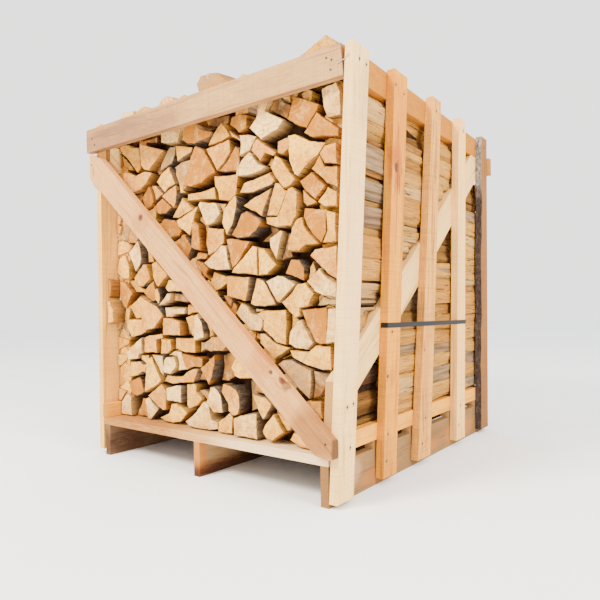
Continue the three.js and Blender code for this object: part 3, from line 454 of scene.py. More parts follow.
for side, facing_front in (("right", 1.0), ("left", -1.0)):
    for name, wood in UPRIGHT_WOOD.items():
        board = name
        seed = UPRIGHT_SEEDS[name]
        if side == "left":
            board = TURNED_NAMES[name]
            seed += 1
            wood = LEFT_FRONT_POST if board == "front_post" else wood
        blots = [
            (at_side(side, y, z), (0.02, across, up), tint, share)
            for (y, z), (across, up), tint, share in OWN_BLOTS[name]
        ]
        for y, z in SIDE_NAILS[name]:
            blots.append((at_side(side, y, z), (0.006, 0.006, 0.011), NAIL_STAIN, 0.6))
        knots = [(*at_side(side, y, z), radius) for y, z, radius in OWN_KNOTS.get(name, [])]
        dress(f"{side}_{board}", sawn_board(
            f"{side} {board}".replace("_", " "), ALONG_Z, *wood, 0.5, seed,
            knots=knots, saw=0.8, blots=blots,
            bark=(0.0, -facing_front, 0.0) if name == "back_post" else None,
        ))
    for name, (direction, wood, seed) in RAIL_WOOD.items():
        turned = (0.0, direction[1] * facing_front, direction[2])
        seed += side == "left"
        dress(f"{side}_{name}", sawn_board(
            f"{side} {name}".replace("_", " "), turned, *wood, 0.5, seed, saw=0.4
        ))

# Pallet. Three skids on edge and five boards across them, the oldest and dirtiest wood of the crate: the
# left skid is dark with damp, a rust-brown stain runs along the middle one's foot, and orange stains along
# the right one's.
dress("left_skid", sawn_board(
    "left skid", ALONG_Y, "84664a", "4a362a", "5f3820", 0.7, 19.9,
    blots=[((-0.46, -0.50, 0.04), (0.05, 0.14, 0.05), colour("3c2014"), 0.85)],
))
dress("middle_skid", sawn_board(
    "middle skid", ALONG_Y, "b8986a", "86694a", "9a6a36", 0.5, 20.7,
    blots=[
        ((0.0, -0.54, 0.06), (0.03, 0.035, 0.08), colour("c0741c"), 0.9),
        ((0.0, -0.38, 0.0), (0.05, 0.34, 0.052), colour("5a260c"), 1.0),
        ((0.0, -0.42, 0.0), (0.05, 0.34, 0.034), colour("3a1606"), 1.0),
        ((0.0, -0.10, 0.050), (0.05, 0.12, 0.050), colour("6e3612"), 0.85),
    ],
))
dress("right_skid", sawn_board(
    "right skid", ALONG_Y, "8e6c42", "664c30", "7a5020", 0.6, 21.5,
    blots=[
        ((0.475, -0.28, 0.030), (0.03, 0.13, 0.030), colour("a8662a"), 0.75),
        ((0.475, 0.02, 0.035), (0.03, 0.12, 0.028), colour("b5702e"), 0.75),
        ((0.475, 0.30, 0.045), (0.03, 0.16, 0.045), colour("b87430"), 0.8),
        ((0.475, -0.44, 0.060), (0.03, 0.06, 0.040), colour("caa27c"), 0.5),
    ],
))
dress("deck_board_1", sawn_board(
    "front deck board", ALONG_X, "dcaa68", "9a7040", "ac702e", 0.4, 22.4,
    blots=[
        ((-0.40, -0.54, 0.115), (0.40, 0.10, 0.05), colour("8e5412"), 0.95),
        ((0.34, -0.54, 0.115), (0.26, 0.10, 0.05), colour("f2d6a6"), 0.85),
    ],
))
for number in range(2, 6):
    dress(f"deck_board_{number}", sawn_board(
        f"deck board {number}", ALONG_X, "bd945f", "856240", "98642e", 0.4, 22.0 + 1.7 * number
    ))

# Nails and the wire tie. Round heads of dull wire nails show where the boards are joined. A bent end of
# bright wire lies on the near post's face, beside the end of the front rail.
steel, tree, shader = new_material("dull nail steel")
place = add(tree, "ShaderNodeTexCoord").outputs["Object"]
rust = noise_of(tree, place, 500.0, 3.0)
rusty = ramp(tree, rust, (0.4, colour("2b2a2b")), (0.65, colour("4a3a30")))
tree.links.new(rusty, shader.inputs["Base Color"])
shader.inputs["Metallic"].default_value = 0.7
shader.inputs["Roughness"].default_value = 0.5

HEAD_RADIUS = 0.0032
HEAD_THICKNESS = 0.0014
HEAD_SUNK = 0.35
FRONT_RAIL_NAILS = ((-0.482, 1.096), (-0.470, 1.072), (0.491, 1.117), (0.506, 1.109), (0.503, 1.085))
FRONT_BRACE_NAILS = ((0.485, 0.166), (-0.488, 1.005))
BACK_NAILS = (
    (-0.490, 1.090), (-0.478, 1.072), (0.486, 1.046), (0.494, 1.030), (-0.485, 0.166), (0.480, 0.945),
)
RAIL_SKEW = 0.024 / 1.050
RAIL_LEFT_END = -0.515
RAIL_GAP = 0.0015
BRACE_GAP = 0.0004

heads = []
for side, outwards in (("right", 1.0), ("left", -1.0)):
    for places in SIDE_NAILS.values():
        heads += [(at_side(side, y, z), (outwards, 0.0, 0.0)) for y, z in places]
for x, z in FRONT_RAIL_NAILS:
    # The rail stands aslant: its right end is nearer the posts
    rail_face = RAIL_SKEW * (x - RAIL_LEFT_END) - BOARD - RAIL_GAP - DEPTH / 2
    heads.append(((x, rail_face, z), (0.0, -1.0, 0.0)))
for x, z in FRONT_BRACE_NAILS:
    heads.append(((x, -BOARD - BRACE_GAP - DEPTH / 2, z), (0.0, -1.0, 0.0)))
for x, z in BACK_NAILS:
    heads.append(((x, BOARD + BRACE_GAP + DEPTH / 2, z), (0.0, 1.0, 0.0)))

bm = bmesh.new()
for place, outwards in heads:
    turn = Vector(ALONG_Z).rotation_difference(Vector(outwards)).to_matrix().to_4x4()
    middle = Vector(place) + Vector(outwards) * HEAD_THICKNESS * HEAD_SUNK
    bmesh.ops.create_cone(
        bm, cap_ends=True, segments=10, depth=HEAD_THICKNESS,
        radius1=HEAD_RADIUS, radius2=HEAD_RADIUS * 0.85, matrix=Matrix.Translation(middle) @ turn,
    )


def new_piece(name, bm, material):
    """A piece of the crate made of a finished mesh, with its material."""
    mesh = bpy.data.meshes.new(name)
    bm.to_mesh(mesh)
    bm.free()
    mesh.materials.append(material)
    piece = bpy.data.objects.new(name, mesh)
    bpy.context.scene.collection.objects.link(piece)
    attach(piece, "root")
    return piece


new_piece("nail_heads", bm, steel)

bright, tree, shader = new_material("bright wire")
place = add(tree, "ShaderNodeTexCoord").outputs["Object"]
dulled = noise_of(tree, place, 900.0, 2.0)
zinc = ramp(tree, dulled, (0.4, colour("b9bec4")), (0.65, colour("8e949b")))
tree.links.new(zinc, shader.inputs["Base Color"])
shader.inputs["Metallic"].default_value = 0.9
shader.inputs["Roughness"].default_value = 0.3

WIRE_RADIUS = 0.0013
WIRE_PATH = [
    (0.524, -0.5470, 1.0935), (0.534, -0.5472, 1.0985), (0.543, -0.5466, 1.1000), (0.549, -0.5466, 1.1062),
    (0.557, -0.5466, 1.1105),
]
bm = bmesh.new()
bmesh.ops.create_circle(
    bm, cap_ends=False, segments=8, radius=WIRE_RADIUS,
    matrix=Matrix.Translation(WIRE_PATH[0]) @ Matrix.Rotation(math.radians(90), 4, "Y"),
)
edges = list(bm.edges)
for before, after in zip(WIRE_PATH, WIRE_PATH[1:]):
    grown = bmesh.ops.extrude_edge_only(bm, edges=edges)["geom"]
    verts = [g for g in grown if isinstance(g, bmesh.types.BMVert)]
    bmesh.ops.translate(bm, verts=verts, vec=Vector(after) - Vector(before))
    edges = [g for g in grown if isinstance(g, bmesh.types.BMEdge) and g.is_boundary]
bmesh.ops.holes_fill(bm, edges=[e for e in bm.edges if e.is_boundary], sides=0)
bmesh.ops.recalc_face_normals(bm, faces=bm.faces)
new_piece("wire_tie", bm, bright)

# Split logs. Beech, sawn to 25 cm and split with an axe into halves, quarters and wedges: cream to orange
# ends with faint rings and rays, stringy brown sides, and grey bark on the round of some. The ends of the
# first row's solid give their outlines, and each log grows back from its end.

split_wood, tree, shader = new_material("split beech")
place = add(tree, "ShaderNodeTexCoord").outputs["Object"]
tone = add(tree, "ShaderNodeAttribute", attribute_name="end_tone").outputs["Color"]
pith = add(tree, "ShaderNodeAttribute", attribute_name="pith").outputs["Vector"]
own = add(tree, "ShaderNodeAttribute", attribute_name="own").outputs["Fac"]
bark = add(tree, "ShaderNodeAttribute", attribute_name="bark").outputs["Fac"]
painted_shade = add(tree, "ShaderNodeAttribute", attribute_name="painted_shade").outputs["Fac"]
rim = add(tree, "ShaderNodeAttribute", attribute_name="rim").outputs["Fac"]
on_end = add(tree, "ShaderNodeAttribute", attribute_name="end_face").outputs["Fac"]

# Each log has a piece of the patterns of its own
offset = add(tree, "ShaderNodeVectorMath", {0: own, "Scale": 7.0}, operation="SCALE").outputs["Vector"]
local = calc_place(tree, "ADD", place, offset)

# End grain: rings and rays round the pith, and the saw's scratches
from_pith = calc_place(tree, "MULTIPLY", calc_place(tree, "SUBTRACT", place, pith), (1.0, 0.0, 1.0))
ring_wave = noise_of(tree, local, 24.0, 2.0)
ring_place = calc(tree, "MULTIPLY_ADD", ring_wave, 0.02, calc_measure(tree, "LENGTH", from_pith))
ring_place = calc(tree, "MULTIPLY_ADD", own, 3.0, ring_place)
ringing = {"W": ring_place, "Scale": 150.0, "Detail": 3.0}
rings = add(tree, "ShaderNodeTexNoise", ringing, noise_dimensions="1D").outputs["Fac"]
outwards = calc_place(tree, "NORMALIZE", from_pith)
ray_place = calc_place(tree, "MULTIPLY_ADD", outwards, (22.0, 0.0, 22.0), offset)
rays = noise_of(tree, ray_place, 1.0, 3.0, 0.6)
scratches = noise_of(tree, stretched(tree, local, (0.05, 0.05, 0.0016)), 1.0, 2.0, 0.6)
cloud = noise_of(tree, local, 16.0, 2.0, 0.5)
blotch = noise_of(tree, local, 36.0, 3.0, 0.6)
smudge = noise_of(tree, local, 60.0, 5.0, 0.7)
dirt = noise_of(tree, local, 130.0, 4.0, 0.7)

end_colour = mixed(tree, ramp(tree, cloud, (0.45, 0.0), (0.66, 0.60)), tone, colour("c87c18"))
end_colour = mixed(tree, ramp(tree, blotch, (0.52, 0.0), (0.72, 0.35)), end_colour, colour("f8d890"))
end_colour = mixed(tree, ramp(tree, smudge, (0.34, 0.60), (0.52, 0.0)), end_colour, colour("a06828"))
end_colour = mixed(tree, ramp(tree, rings, (0.32, 0.26), (0.48, 0.0)), end_colour, colour("a5651f"))
end_colour = mixed(tree, ramp(tree, rings, (0.58, 0.0), (0.72, 0.12)), end_colour, colour("f6d892"))
end_colour = mixed(tree, ramp(tree, rays, (0.28, 0.55), (0.45, 0.0)), end_colour, colour("8a5622"))
end_colour = mixed(tree, ramp(tree, scratches, (0.30, 0.26), (0.46, 0.0)), end_colour, colour("845526"))
end_colour = mixed(tree, ramp(tree, dirt, (0.30, 0.65), (0.48, 0.0)), end_colour, colour("7c4e22"))
end_colour = mixed(tree, ramp(tree, rim, (0.15, 0.0), (0.85, 0.90)), end_colour, colour("46290f"))

# Split sides: long fibres, with painted shade in their hollows and a painted highlight on their ridges, and
# painted shade that is darkest between the logs
fibres = noise_of(tree, stretched(tree, local, (0.0024, 0.07, 0.0024)), 1.0, 5.0, 0.65)
strands = noise_of(tree, stretched(tree, local, (0.010, 0.20, 0.010)), 1.0, 3.0, 0.6)
splits = noise_of(tree, stretched(tree, local, (0.007, 0.09, 0.007)), 1.0, 5.0, 0.6)
side_colour = ramp(
    tree, strands, (0.32, colour("5e381a")), (0.50, colour("845226")), (0.66, colour("aa7636"))
)
side_colour = mixed(tree, 0.42, side_colour, tone)
# Painted shade in the fibres' hollows, and a painted highlight on their ridges
side_colour = mixed(tree, ramp(tree, fibres, (0.34, 0.55), (0.50, 0.0)), side_colour, colour("5c3a1e"))
side_colour = mixed(tree, ramp(tree, fibres, (0.58, 0.0), (0.70, 0.35)), side_colour, colour("eac48c"))
side_colour = mixed(tree, ramp(tree, splits, (0.34, 0.90), (0.40, 0.0)), side_colour, colour("2c190c"))
weathered = ramp(tree, strands, (0.34, colour("40342a")), (0.62, colour("8c7a66")))
side_colour = mixed(tree, ramp(tree, own, (0.84, 0.0), (0.86, 0.75)), side_colour, weathered)

# Bark: thin, smooth and grey, with paler lichen and dark cracks
lichen = noise_of(tree, stretched(tree, local, (0.012, 0.05, 0.012)), 1.0, 6.0, 0.7)
cracks = noise_of(tree, stretched(tree, local, (0.004, 0.012, 0.004)), 1.0, 4.0, 0.65)
bark_colour = ramp(
    tree, lichen,
    (0.32, colour("3c2e20")), (0.47, colour("584a3c")), (0.60, colour("746653")), (0.74, colour("958870")),
)
bark_colour = mixed(tree, ramp(tree, cracks, (0.36, 0.8), (0.48, 0.0)), bark_colour, colour("231a14"))
bark_share = ramp(tree, bark, (0.45, 0.0), (0.55, 1.0))
side_colour = mixed(tree, bark_share, side_colour, bark_colour)
# Painted shade: the sides go over into dark brown the deeper they lie in the stack
side_colour = mixed(tree, painted_shade, side_colour, colour("321e12"))
end_colour = mixed(tree, ramp(tree, bark, (0.25, 0.0), (0.55, 0.95)), end_colour, colour("4a3020"))
tree.links.new(mixed(tree, on_end, side_colour, end_colour), shader.inputs["Base Color"])
shader.inputs["Roughness"].default_value = 0.85
shader.inputs["Specular IOR Level"].default_value = 0.15

end_relief = calc(tree, "MULTIPLY_ADD", scratches, 0.5, rays)
side_relief = calc(tree, "MULTIPLY_ADD", strands, 2.0, fibres)
bark_relief = calc(tree, "MULTIPLY_ADD", cracks, 1.5, lichen)
relief = mixed(tree, on_end, mixed(tree, bark_share, side_relief, bark_relief), end_relief)
bump = add(tree, "ShaderNodeBump", {"Height": relief, "Strength": 0.7, "Distance": 0.003})
tree.links.new(bump.outputs["Normal"], shader.inputs["Normal"])

# The crate's inside, which the logs may not leave
SLAT_FACE = 0.474
FOOT_RAIL_TOP = 0.176
TOP_RAIL_BOTTOM = 1.070
TOP_RAIL_TOP = 1.146
SIDE_BRACE_FOOT = 0.183
SIDE_BRACE_HEIGHT = 0.138


def side_planes(point):
    """Where the uprights' inner faces stand at a place, on the left and on the right."""
    y = point.y + DEPTH / 2
    return -SLAT_FACE + LEFT_LEAN * point.z, SLAT_FACE + right_lean(y) * point.z


def kept_inside(point):
    """The nearest place for a log's point that is clear of the side frames."""
    y = point.y + DEPTH / 2
    left, right = side_planes(point)
    inwards = []
    for frame_y in (DEPTH - y, y):
        low = SIDE_BRACE_FOOT + SIDE_BRACE_SLOPE * frame_y
        at_brace = low < point.z < low + SIDE_BRACE_HEIGHT
        at_rail = point.z < FOOT_RAIL_TOP or TOP_RAIL_BOTTOM < point.z < TOP_RAIL_TOP
        uneven = 0.003 + 0.004 * noise.noise(Vector((frame_y * 9, point.z * 26, frame_y + y)))
        inwards.append(uneven + (BOARD if at_brace or at_rail else 0.0))
    return Vector((min(max(point.x, left + inwards[0]), right - inwards[1]), point.y, point.z))


TONES = {
    "white": colour("f6ca7c"),
    "cream": colour("f4b64a"),
    "tan": colour("de9c32"),
    "orange": colour("ae6a08"),
    "pink": colour("e49e44"),
    "grey": colour("987c52"),
    "brown": colour("5a4028"),
}

# Logs that stand out from the rest by their colour: the middle of each end, X and Z in millimetres
STANDING_OUT = {
    "white": [
        (-428, 165), (-283, 168), (-365, 370), (-235, 330), (-165, 322), (-150, 489), (-195, 530), (46, 228),
        (-23, 445), (170, 168), (433, 555), (222, 492), (-365, 690), (64, 650), (25, 785), (300, 670),
        (-155, 1058), (205, 910), (255, 1020), (480, 1025), (-195, 1145),
    ],
    "orange": [
        (-345, 165), (-380, 232), (-70, 335), (15, 310), (228, 275), (-455, 575), (-285, 562), (90, 525),
        (-20, 625), (280, 548), (360, 600), (420, 450), (-390, 622), (-170, 765), (-85, 705), (-30, 725),
        (135, 665), (195, 740), (427, 812), (435, 720), (-455, 1025), (-200, 840), (-285, 880), (-40, 1045),
        (5, 940), (115, 935), (160, 1030), (440, 965), (420, 1020),
    ],
    "pink": [
        (-420, 545), (-265, 490), (-165, 445), (-265, 385), (-155, 335), (50, 710), (-260, 1015), (70, 950),
        (265, 945), (480, 880), (300, 430),
    ],
    "grey": [
        (-435, 435), (-25, 233), (50, 365), (175, 245), (355, 320), (-425, 765), (-290, 700), (-395, 655),
        (350, 850), (-110, 925), (-160, 980), (0, 735), (32, 1150),
    ],
    "brown": [
        (-20, 295), (90, 330), (-400, 530), (-400, 480), (-125, 538), (-95, 430), (275, 700), (445, 310),
        (-345, 890), (300, 1040), (-465, 1075), (-290, 1075), (45, 1070), (325, 660), (-230, 980),
    ],
}
NEAR = 0.030
FRONT_ENDS_BEFORE = -0.4
USUAL_TONES = ["cream", "cream", "cream", "cream", "tan", "tan", "tan", "pink", "white"]


def tone_of(middle, dice):
    """The colour of a log's end: one of its own if it stands out at the front, or else a usual one."""
    if middle.y < FRONT_ENDS_BEFORE:
        for name, places in STANDING_OUT.items():
            for x, z in places:
                if (Vector((middle.x, middle.z)) - Vector((x, z)) / 1000).length < NEAR:
                    return TONES[name]
    return TONES[dice.choice(USUAL_TONES)]


def end_faces(node):
    """A bmesh with the front ends of a solid's logs, each one face."""
    bm = bmesh.new()
    bm.from_mesh(node.data)
    bmesh.ops.remove_doubles(bm, verts=bm.verts, dist=1e-5)
    bmesh.ops.dissolve_limit(bm, angle_limit=math.radians(0.5), verts=bm.verts, edges=bm.edges)
    bm.normal_update()
    foremost = min(face.normal.y for face in bm.faces)
    rest = [face for face in bm.faces if face.normal.y > foremost + 1e-4]
    bmesh.ops.delete(bm, geom=rest, context="FACES")
    bmesh.ops.split_edges(bm, edges=bm.edges)
    return bm


ROW_PITCH = 0.261
FIRST_ROW_FRONT = 0.040
ROW_LENGTH = 0.244
LOG_FOOT = 0.1284
STACK_TOP = 1.088
FACE_REACH = 0.452
BACK_FACE = 1.056


def row_front(row):
    """How far behind the posts' front edges a row starts."""
    return FIRST_ROW_FRONT + ROW_PITCH * (row - 1)


def stack_front(x):
    """How far the first row's ends stand behind the posts' front edges, which is more on the left."""
    return 0.062 - 0.045 * (x + FACE_REACH) / (2 * FACE_REACH)


def add_split(bm, x, y, z, radius, dice):
    """Adds the end of a rough split, five-sided and uneven."""
    place = Vector((x, y - DEPTH / 2, z))
    made = bmesh.ops.create_circle(
        bm, cap_ends=True, segments=5, radius=radius,
        matrix=Matrix.Translation(place) @ Matrix.Rotation(math.radians(90), 4, "X"),
    )["verts"]
    for vert in made:
        vert.co = kept_inside(place + (vert.co - place) * dice.uniform(0.85, 1.20))
        vert.co.z = max(vert.co.z, LOG_FOOT)
    face = made[0].link_faces[0]
    face.normal_update()
    if face.normal.y > 0:
        face.normal_flip()


# Splits stand in a column behind the outermost logs of each side, and small ones close single holes. A hole
# has how far right it is, how high, and how far its split stands behind the row's ends.
LEFT_COLUMN = [z / 1000 for z in range(165, 1050, 56)]
RIGHT_COLUMN = [z / 1000 for z in range(172, 1050, 73)]
COLUMN_INSET = 0.030
LEFT_BEHIND = 0.006
RIGHT_BEHIND = 0.034
SIDE_SPLIT = 0.048
HOLES = (
    (0.400, 1.060, 0.020), (0.350, 1.074, 0.020), (-0.460, 0.785, -0.004), (-0.460, 0.822, -0.004),
    (-0.460, 0.448, -0.004),
)


def line_sides(bm, dice):
    """Adds the splits that fill the row out to the side frames and up to the rail."""
    x = SLAT_FACE - COLUMN_INSET
    for z in LEFT_COLUMN:
        add_split(bm, -x, LEFT_BEHIND + stack_front(-x), z, SIDE_SPLIT, dice)
    for z in RIGHT_COLUMN:
        leaning = x + right_lean(0.0) * z - dice.uniform(0.006, 0.032)
        height = z + dice.uniform(-0.012, 0.012)
        add_split(bm, leaning, RIGHT_BEHIND + stack_front(leaning), height, SIDE_SPLIT, dice)
    for x, z, behind in HOLES:
        add_split(bm, x, behind + stack_front(x), z, SIDE_SPLIT / 2, dice)


# Behind the first row, splits also stand wherever no log does, and are short of the others' ends
GAP_PITCH = 0.044
GAP_SPLIT = 0.032
GAP_SHORT = 0.030
PROBE = 0.012


def fill_gaps(bm, front, dice):
    """Adds a split at each place of a grid where most of five rays pass between the row's ends."""
    logs = BVHTree.FromBMesh(bm)
    for step_z in range(1, 21):
        for step_x in range(-10, 12):
            x = (step_x + 0.5 * (step_z % 2)) * GAP_PITCH
            z = LOG_FOOT + step_z * GAP_PITCH
            ahead = Vector((x, -1.0, z))
            shut = [
                logs.ray_cast(ahead + Vector((dx, 0.0, dz)), Vector((0.0, 1.0, 0.0)))[0]
                for dx, dz in ((0.0, 0.0), (PROBE, 0.0), (-PROBE, 0.0), (0.0, PROBE), (0.0, -PROBE))
            ]
            if sum(1 for hit in shut if hit is None) >= 3:
                add_split(bm, x, front + GAP_SHORT, z, GAP_SPLIT, dice)


def mark_ends(bm, dice):
    """Gives each end its colour, its pith and its stretches of bark, kept on the corners."""
    layers = bm.verts.layers
    end_tone = layers.float_color.new("end_tone")
    pith = layers.float_vector.new("pith")
    own = layers.float.new("own")
    bark = layers.float.new("bark")
    layers.float.new("painted_shade")
    layers.float.new("rim")
    for face in bm.faces:
        corners = [loop.vert.co.copy() for loop in face.loops]
        turns = []
        for loop in face.loops:
            before = (loop.vert.co - loop.link_loop_prev.vert.co).normalized()
            after = (loop.link_loop_next.vert.co - loop.vert.co).normalized()
            convex = before.cross(after).dot(face.normal) > 0
            turns.append(math.degrees(before.angle(after, 0.0)) * (1 if convex else -1))
        middle = face.calc_center_median()
        sharpest = corners[turns.index(max(turns))]
        heart = sharpest + (sharpest - middle) * dice.uniform(-0.1, 0.5)
        tone = tone_of(middle, dice)
        chance = dice.random()
        shade = dice.uniform(0.88, 1.08)
        gentle = [4 < turn < 46 for turn in turns]
        for i, loop in enumerate(face.loops):
            vert = loop.vert
            vert[end_tone] = (tone[0] * shade, tone[1] * shade, tone[2] * shade, 1.0)
            vert[pith] = heart
            vert[own] = chance
            round_side = gentle[i] and (gentle[i - 1] or gentle[(i + 1) % len(gentle)])
            vert[bark] = 1.0 if round_side and chance > 0.25 and middle.x < 0.42 else 0.0


# Each step goes this share of the way that is left to the back end
SIDE_STEPS = (0.05, 0.16, 0.3, 0.5, 1.0)
RIM_WIDTH = 0.0026
END_GAP = 0.0026


def trim_ends(bm, faces):
    """Sets a narrow dark rim round each end, outside which bark shows."""
    rim = bm.verts.layers.float["rim"]
    for vert in {v for face in faces for v in face.verts}:
        vert[rim] = 1.0
    bmesh.ops.inset_individual(bm, faces=faces, thickness=RIM_WIDTH, use_even_offset=False)
    bark = bm.verts.layers.float["bark"]
    for face in faces:
        for vert in face.verts:
            vert[bark] = 0.0
            vert[rim] = 0.0


def grow_logs(bm, back_of, dice, segment, painted_shade_at=None):
    """Turns each end face into a log that runs back from it to a given depth, square to its end."""
    own = bm.verts.layers.float["own"]
    painted_shade = bm.verts.layers.float["painted_shade"]
    axis = bm.verts.layers.float_vector.new("axis")
    back = bm.verts.layers.float.new("back")
    front = bm.verts.layers.float.new("front")
    for face in bm.faces:
        middle = face.calc_center_median()
        end_y = back_of(middle)
        lean = Vector((dice.uniform(-0.06, 0.06), 0.0, dice.uniform(-0.06, 0.06)))
        for vert in face.verts:
            vert[axis] = -face.normal
            vert[back] = end_y
            vert[front] = middle.y
        for vert in face.verts:
            vert.co.y += lean.dot(vert.co - middle)
    for cuts in range(1, 24):
        edges = [e for e in bm.edges if int(e.calc_length() / segment) == cuts]
        if edges:
            bmesh.ops.bisect_edges(bm, edges=edges, cuts=cuts)
    ends = list(bm.faces)
    for face in ends:
        middle = face.calc_center_median()
        for vert in face.verts:
            away = vert.co - middle
            away.y = 0.0
            rough = noise.noise(Vector((vert.co.x * 70, vert[own] * 50, vert.co.z * 70)))
            fine = noise.noise(Vector((vert.co.x * 230, vert[own] * 90, vert.co.z * 230)))
            vert.co -= away.normalized() * (END_GAP + 0.0020 * rough + 0.0010 * fine)
    trim_ends(bm, ends)
    edges = [e for e in bm.edges if e.is_boundary]
    for vert in {v for e in edges for v in e.verts}:
        chip = noise.noise(Vector((vert.co.x * 110, 3.0 + vert[own] * 50, vert.co.z * 110)))
        vert.co.y += 0.0012 + 0.0020 * max(0.0, chip)
    for step in SIDE_STEPS:
        grown = bmesh.ops.extrude_edge_only(bm, edges=edges)["geom"]
        for vert in (g for g in grown if isinstance(g, bmesh.types.BMVert)):
            there = vert.co + vert[axis] * ((vert[back] - vert.co.y) * step / vert[axis].y)
            swell = noise.noise(Vector((there.x * 45, there.y * 5 + vert[own] * 50, there.z * 45)))
            swing = noise.noise(Vector((vert[own] * 90, there.y * 4, 0.0)))
            drift = noise.noise(Vector((0.0, there.y * 4, vert[own] * 90)))
            there += Vector((0.003 * swing + 0.003 * swell, 0.0, 0.003 * drift + 0.003 * swell))
            vert.co = kept_inside(there)
            # Painted shade, kept on each point: how deep it lies in the stack
            if painted_shade_at:
                vert[painted_shade] = painted_shade_at(vert.co, vert[front], vert[back])
        edges = [g for g in grown if isinstance(g, bmesh.types.BMEdge)]
    filled = bmesh.ops.holes_fill(bm, edges=[e for e in bm.edges if e.is_boundary], sides=0)["faces"]
    trim_ends(bm, filled)
    bmesh.ops.recalc_face_normals(bm, faces=bm.faces)
    for layer in (back, front):
        bm.verts.layers.float.remove(layer)
    bm.verts.layers.float_vector.remove(bm.verts.layers.float_vector["axis"])
    end_face = bm.faces.layers.float.new("end_face")
    for face in bm.faces:
        face[end_face] = 1.0 if abs(face.normal.y) > 0.6 else 0.0
        face.smooth = abs(face.normal.y) < 0.6
    bmesh.ops.triangulate(bm, faces=[f for f in bm.faces if len(f.verts) > 4])


def fit_to_row(bm, row):
    """Moves the first row's ends to another row: the second is mirrored, the third is bottom up."""
    front = row_front(row)
    for face in bm.faces:
        middle = face.calc_center_median()
        set_back = middle.y + DEPTH / 2 - stack_front(middle.x)
        for vert in face.verts:
            x, y, z = vert.co
            share = (x + FACE_REACH) / (2 * FACE_REACH + right_lean(stack_front(FACE_REACH)) * z)
            if row == 2:
                share = 1 - share
            if row == 3:
                z = LOG_FOOT + STACK_TOP - z
            width = 2 * FACE_REACH + right_lean(front + ROW_LENGTH / 2) * z
            vert.co = (share * width - FACE_REACH, front + 0.2 * set_back - DEPTH / 2, z)
        face.normal_update()
        if face.normal.y > 0:
            face.normal_flip()


# How far in from each open face of the stack hardly any light comes
SIDE_SHADE = 0.035
TOP_SHADE = 0.040
FRONT_SHADE = 0.055
BACK_SHADE = 0.060
SHADED_TOP = 1.05


def between_logs(row):
    """How little light reaches a place in a row, from 0 at its open faces to 1 a few centimetres in."""
    def painted_shade_at(point, front, back):
        left, right = side_planes(point)
        depths = [1.0, (SHADED_TOP - point.z) / TOP_SHADE]
        depths.append(min(point.x - left, right - point.x) / SIDE_SHADE)
        if row == 1:
            depths.append((point.y - front) / FRONT_SHADE)
        if row == 4:
            depths.append((back - point.y - 0.004) / BACK_SHADE)
        return max(0.0, min(depths))
    return painted_shade_at


FRONT_SEGMENT = 0.008
HIDDEN_SEGMENT = 0.014
HEAP_SEGMENT = 0.010

dice = random.Random(41)
for row in range(1, 5):
    bm = end_faces(nodes["log_row_1"])
    line_sides(bm, dice)
    front = row_front(row)
    back = front + ROW_LENGTH - DEPTH / 2
    if row > 1:
        fit_to_row(bm, row)
        fill_gaps(bm, front, dice)
    mark_ends(bm, dice)

    def back_of(middle):
        if row < 4:
            return back + dice.uniform(-0.008, 0.006)
        if middle.x > 0.42:
            return BACK_FACE - DEPTH / 2 + dice.uniform(0.014, 0.022)
        if middle.y > front + 0.9 * GAP_SHORT - DEPTH / 2:
            return BACK_FACE - DEPTH / 2 - dice.uniform(0.014, 0.022)
        return BACK_FACE - DEPTH / 2 + dice.uniform(-0.022, 0.016)

    segment = FRONT_SEGMENT if row == 1 else HIDDEN_SEGMENT
    grow_logs(bm, back_of, dice, segment, between_logs(row))
    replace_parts(new_piece(f"split_logs_row_{row}", bm, split_wood), f"log_row_{row}")

# Heap. Loose split logs of the same beech lie on the stacked rows, held by nothing but their weight. A few
# of them show over the front rail.
for name in sorted(n for n in nodes if n.startswith("top_log_")):
    low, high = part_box(name)
    bm = end_faces(nodes[name])
    mark_ends(bm, dice)
    grow_logs(bm, lambda middle: high.y - 0.008, dice, HEAP_SEGMENT)
    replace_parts(new_piece(f"split_{name}", bm, split_wood), name)
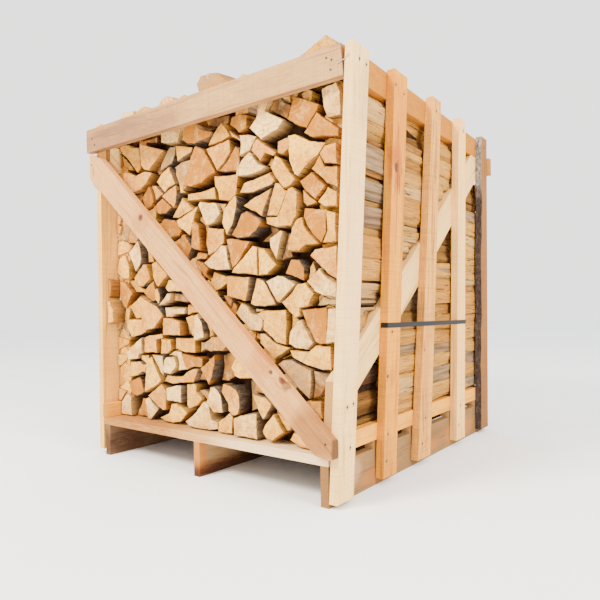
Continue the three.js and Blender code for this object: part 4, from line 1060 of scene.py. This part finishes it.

# Depths of the pile. More split wood closes the gaps between the logs a few centimetres in, where hardly
# any light reaches it; its near-black colour is painted shade.
painted_deep_shade, tree, shader = new_material("painted shade deep in the pile")
place = add(tree, "ShaderNodeTexCoord").outputs["Object"]
lumps = noise_of(tree, place, 40.0, 4.0, 0.6)
# Painted shade: near-black brown
shade = ramp(tree, lumps, (0.35, colour("170d06")), (0.70, colour("3a2414")))
tree.links.new(shade, shader.inputs["Base Color"])
shader.inputs["Roughness"].default_value = 0.95
shader.inputs["Specular IOR Level"].default_value = 0.1

DEEP_INSET = 0.030
DEEP_FRONT = 0.052
DEEP_FOOT = 0.102
DEEP_TOP = 1.062
DEEP_BACK = 1.030
DEEP_CUTS = 9
for row in range(1, 5):
    start = row_front(row)
    end = DEEP_BACK if row == 4 else start + ROW_LENGTH - 0.012
    bm = bmesh.new()
    bmesh.ops.create_cube(bm, size=1.0)
    bmesh.ops.subdivide_edges(bm, edges=bm.edges, cuts=DEEP_CUTS, use_grid_fill=True)
    for vert in bm.verts:
        x = vert.co.x * 2 * FACE_REACH
        first = stack_front(x) + DEEP_FRONT if row == 1 else start + 0.010
        y = first + (end - first) * (vert.co.y + 0.5) - DEPTH / 2
        z = DEEP_FOOT + (DEEP_TOP - DEEP_FOOT) * (vert.co.z + 0.5)
        left, right = side_planes(Vector((x, y, z)))
        share = vert.co.x + 0.5
        x = left + DEEP_INSET + (right - left - 2 * DEEP_INSET) * share
        bump_in = 0.006 * noise.noise(Vector((x * 20, y * 20 + row, z * 20)))
        vert.co = (x - math.copysign(abs(bump_in), share - 0.5), y + abs(bump_in), z)
    new_piece(f"depths_of_row_{row}", bm, painted_deep_shade)

# Strap. A flat black band of polyester, drawn tight across three slats of the right side, with both ends
# turned in over the slats' edges.
strap_material, tree, shader = new_material("black strap")
place = add(tree, "ShaderNodeTexCoord").outputs["Object"]
weave = noise_of(tree, stretched(tree, place, (0.002, 0.05, 0.0015)), 1.0, 2.0)
black = ramp(tree, weave, (0.3, colour("050506")), (0.7, colour("0e0f10")))
tree.links.new(black, shader.inputs["Base Color"])
shader.inputs["Roughness"].default_value = 0.55
shader.inputs["Specular IOR Level"].default_value = 0.25
bump = add(tree, "ShaderNodeBump", {"Height": weave, "Strength": 0.3, "Distance": 0.0004})
tree.links.new(bump.outputs["Normal"], shader.inputs["Normal"])
nodes["strap"].data.materials.clear()
nodes["strap"].data.materials.append(strap_material)
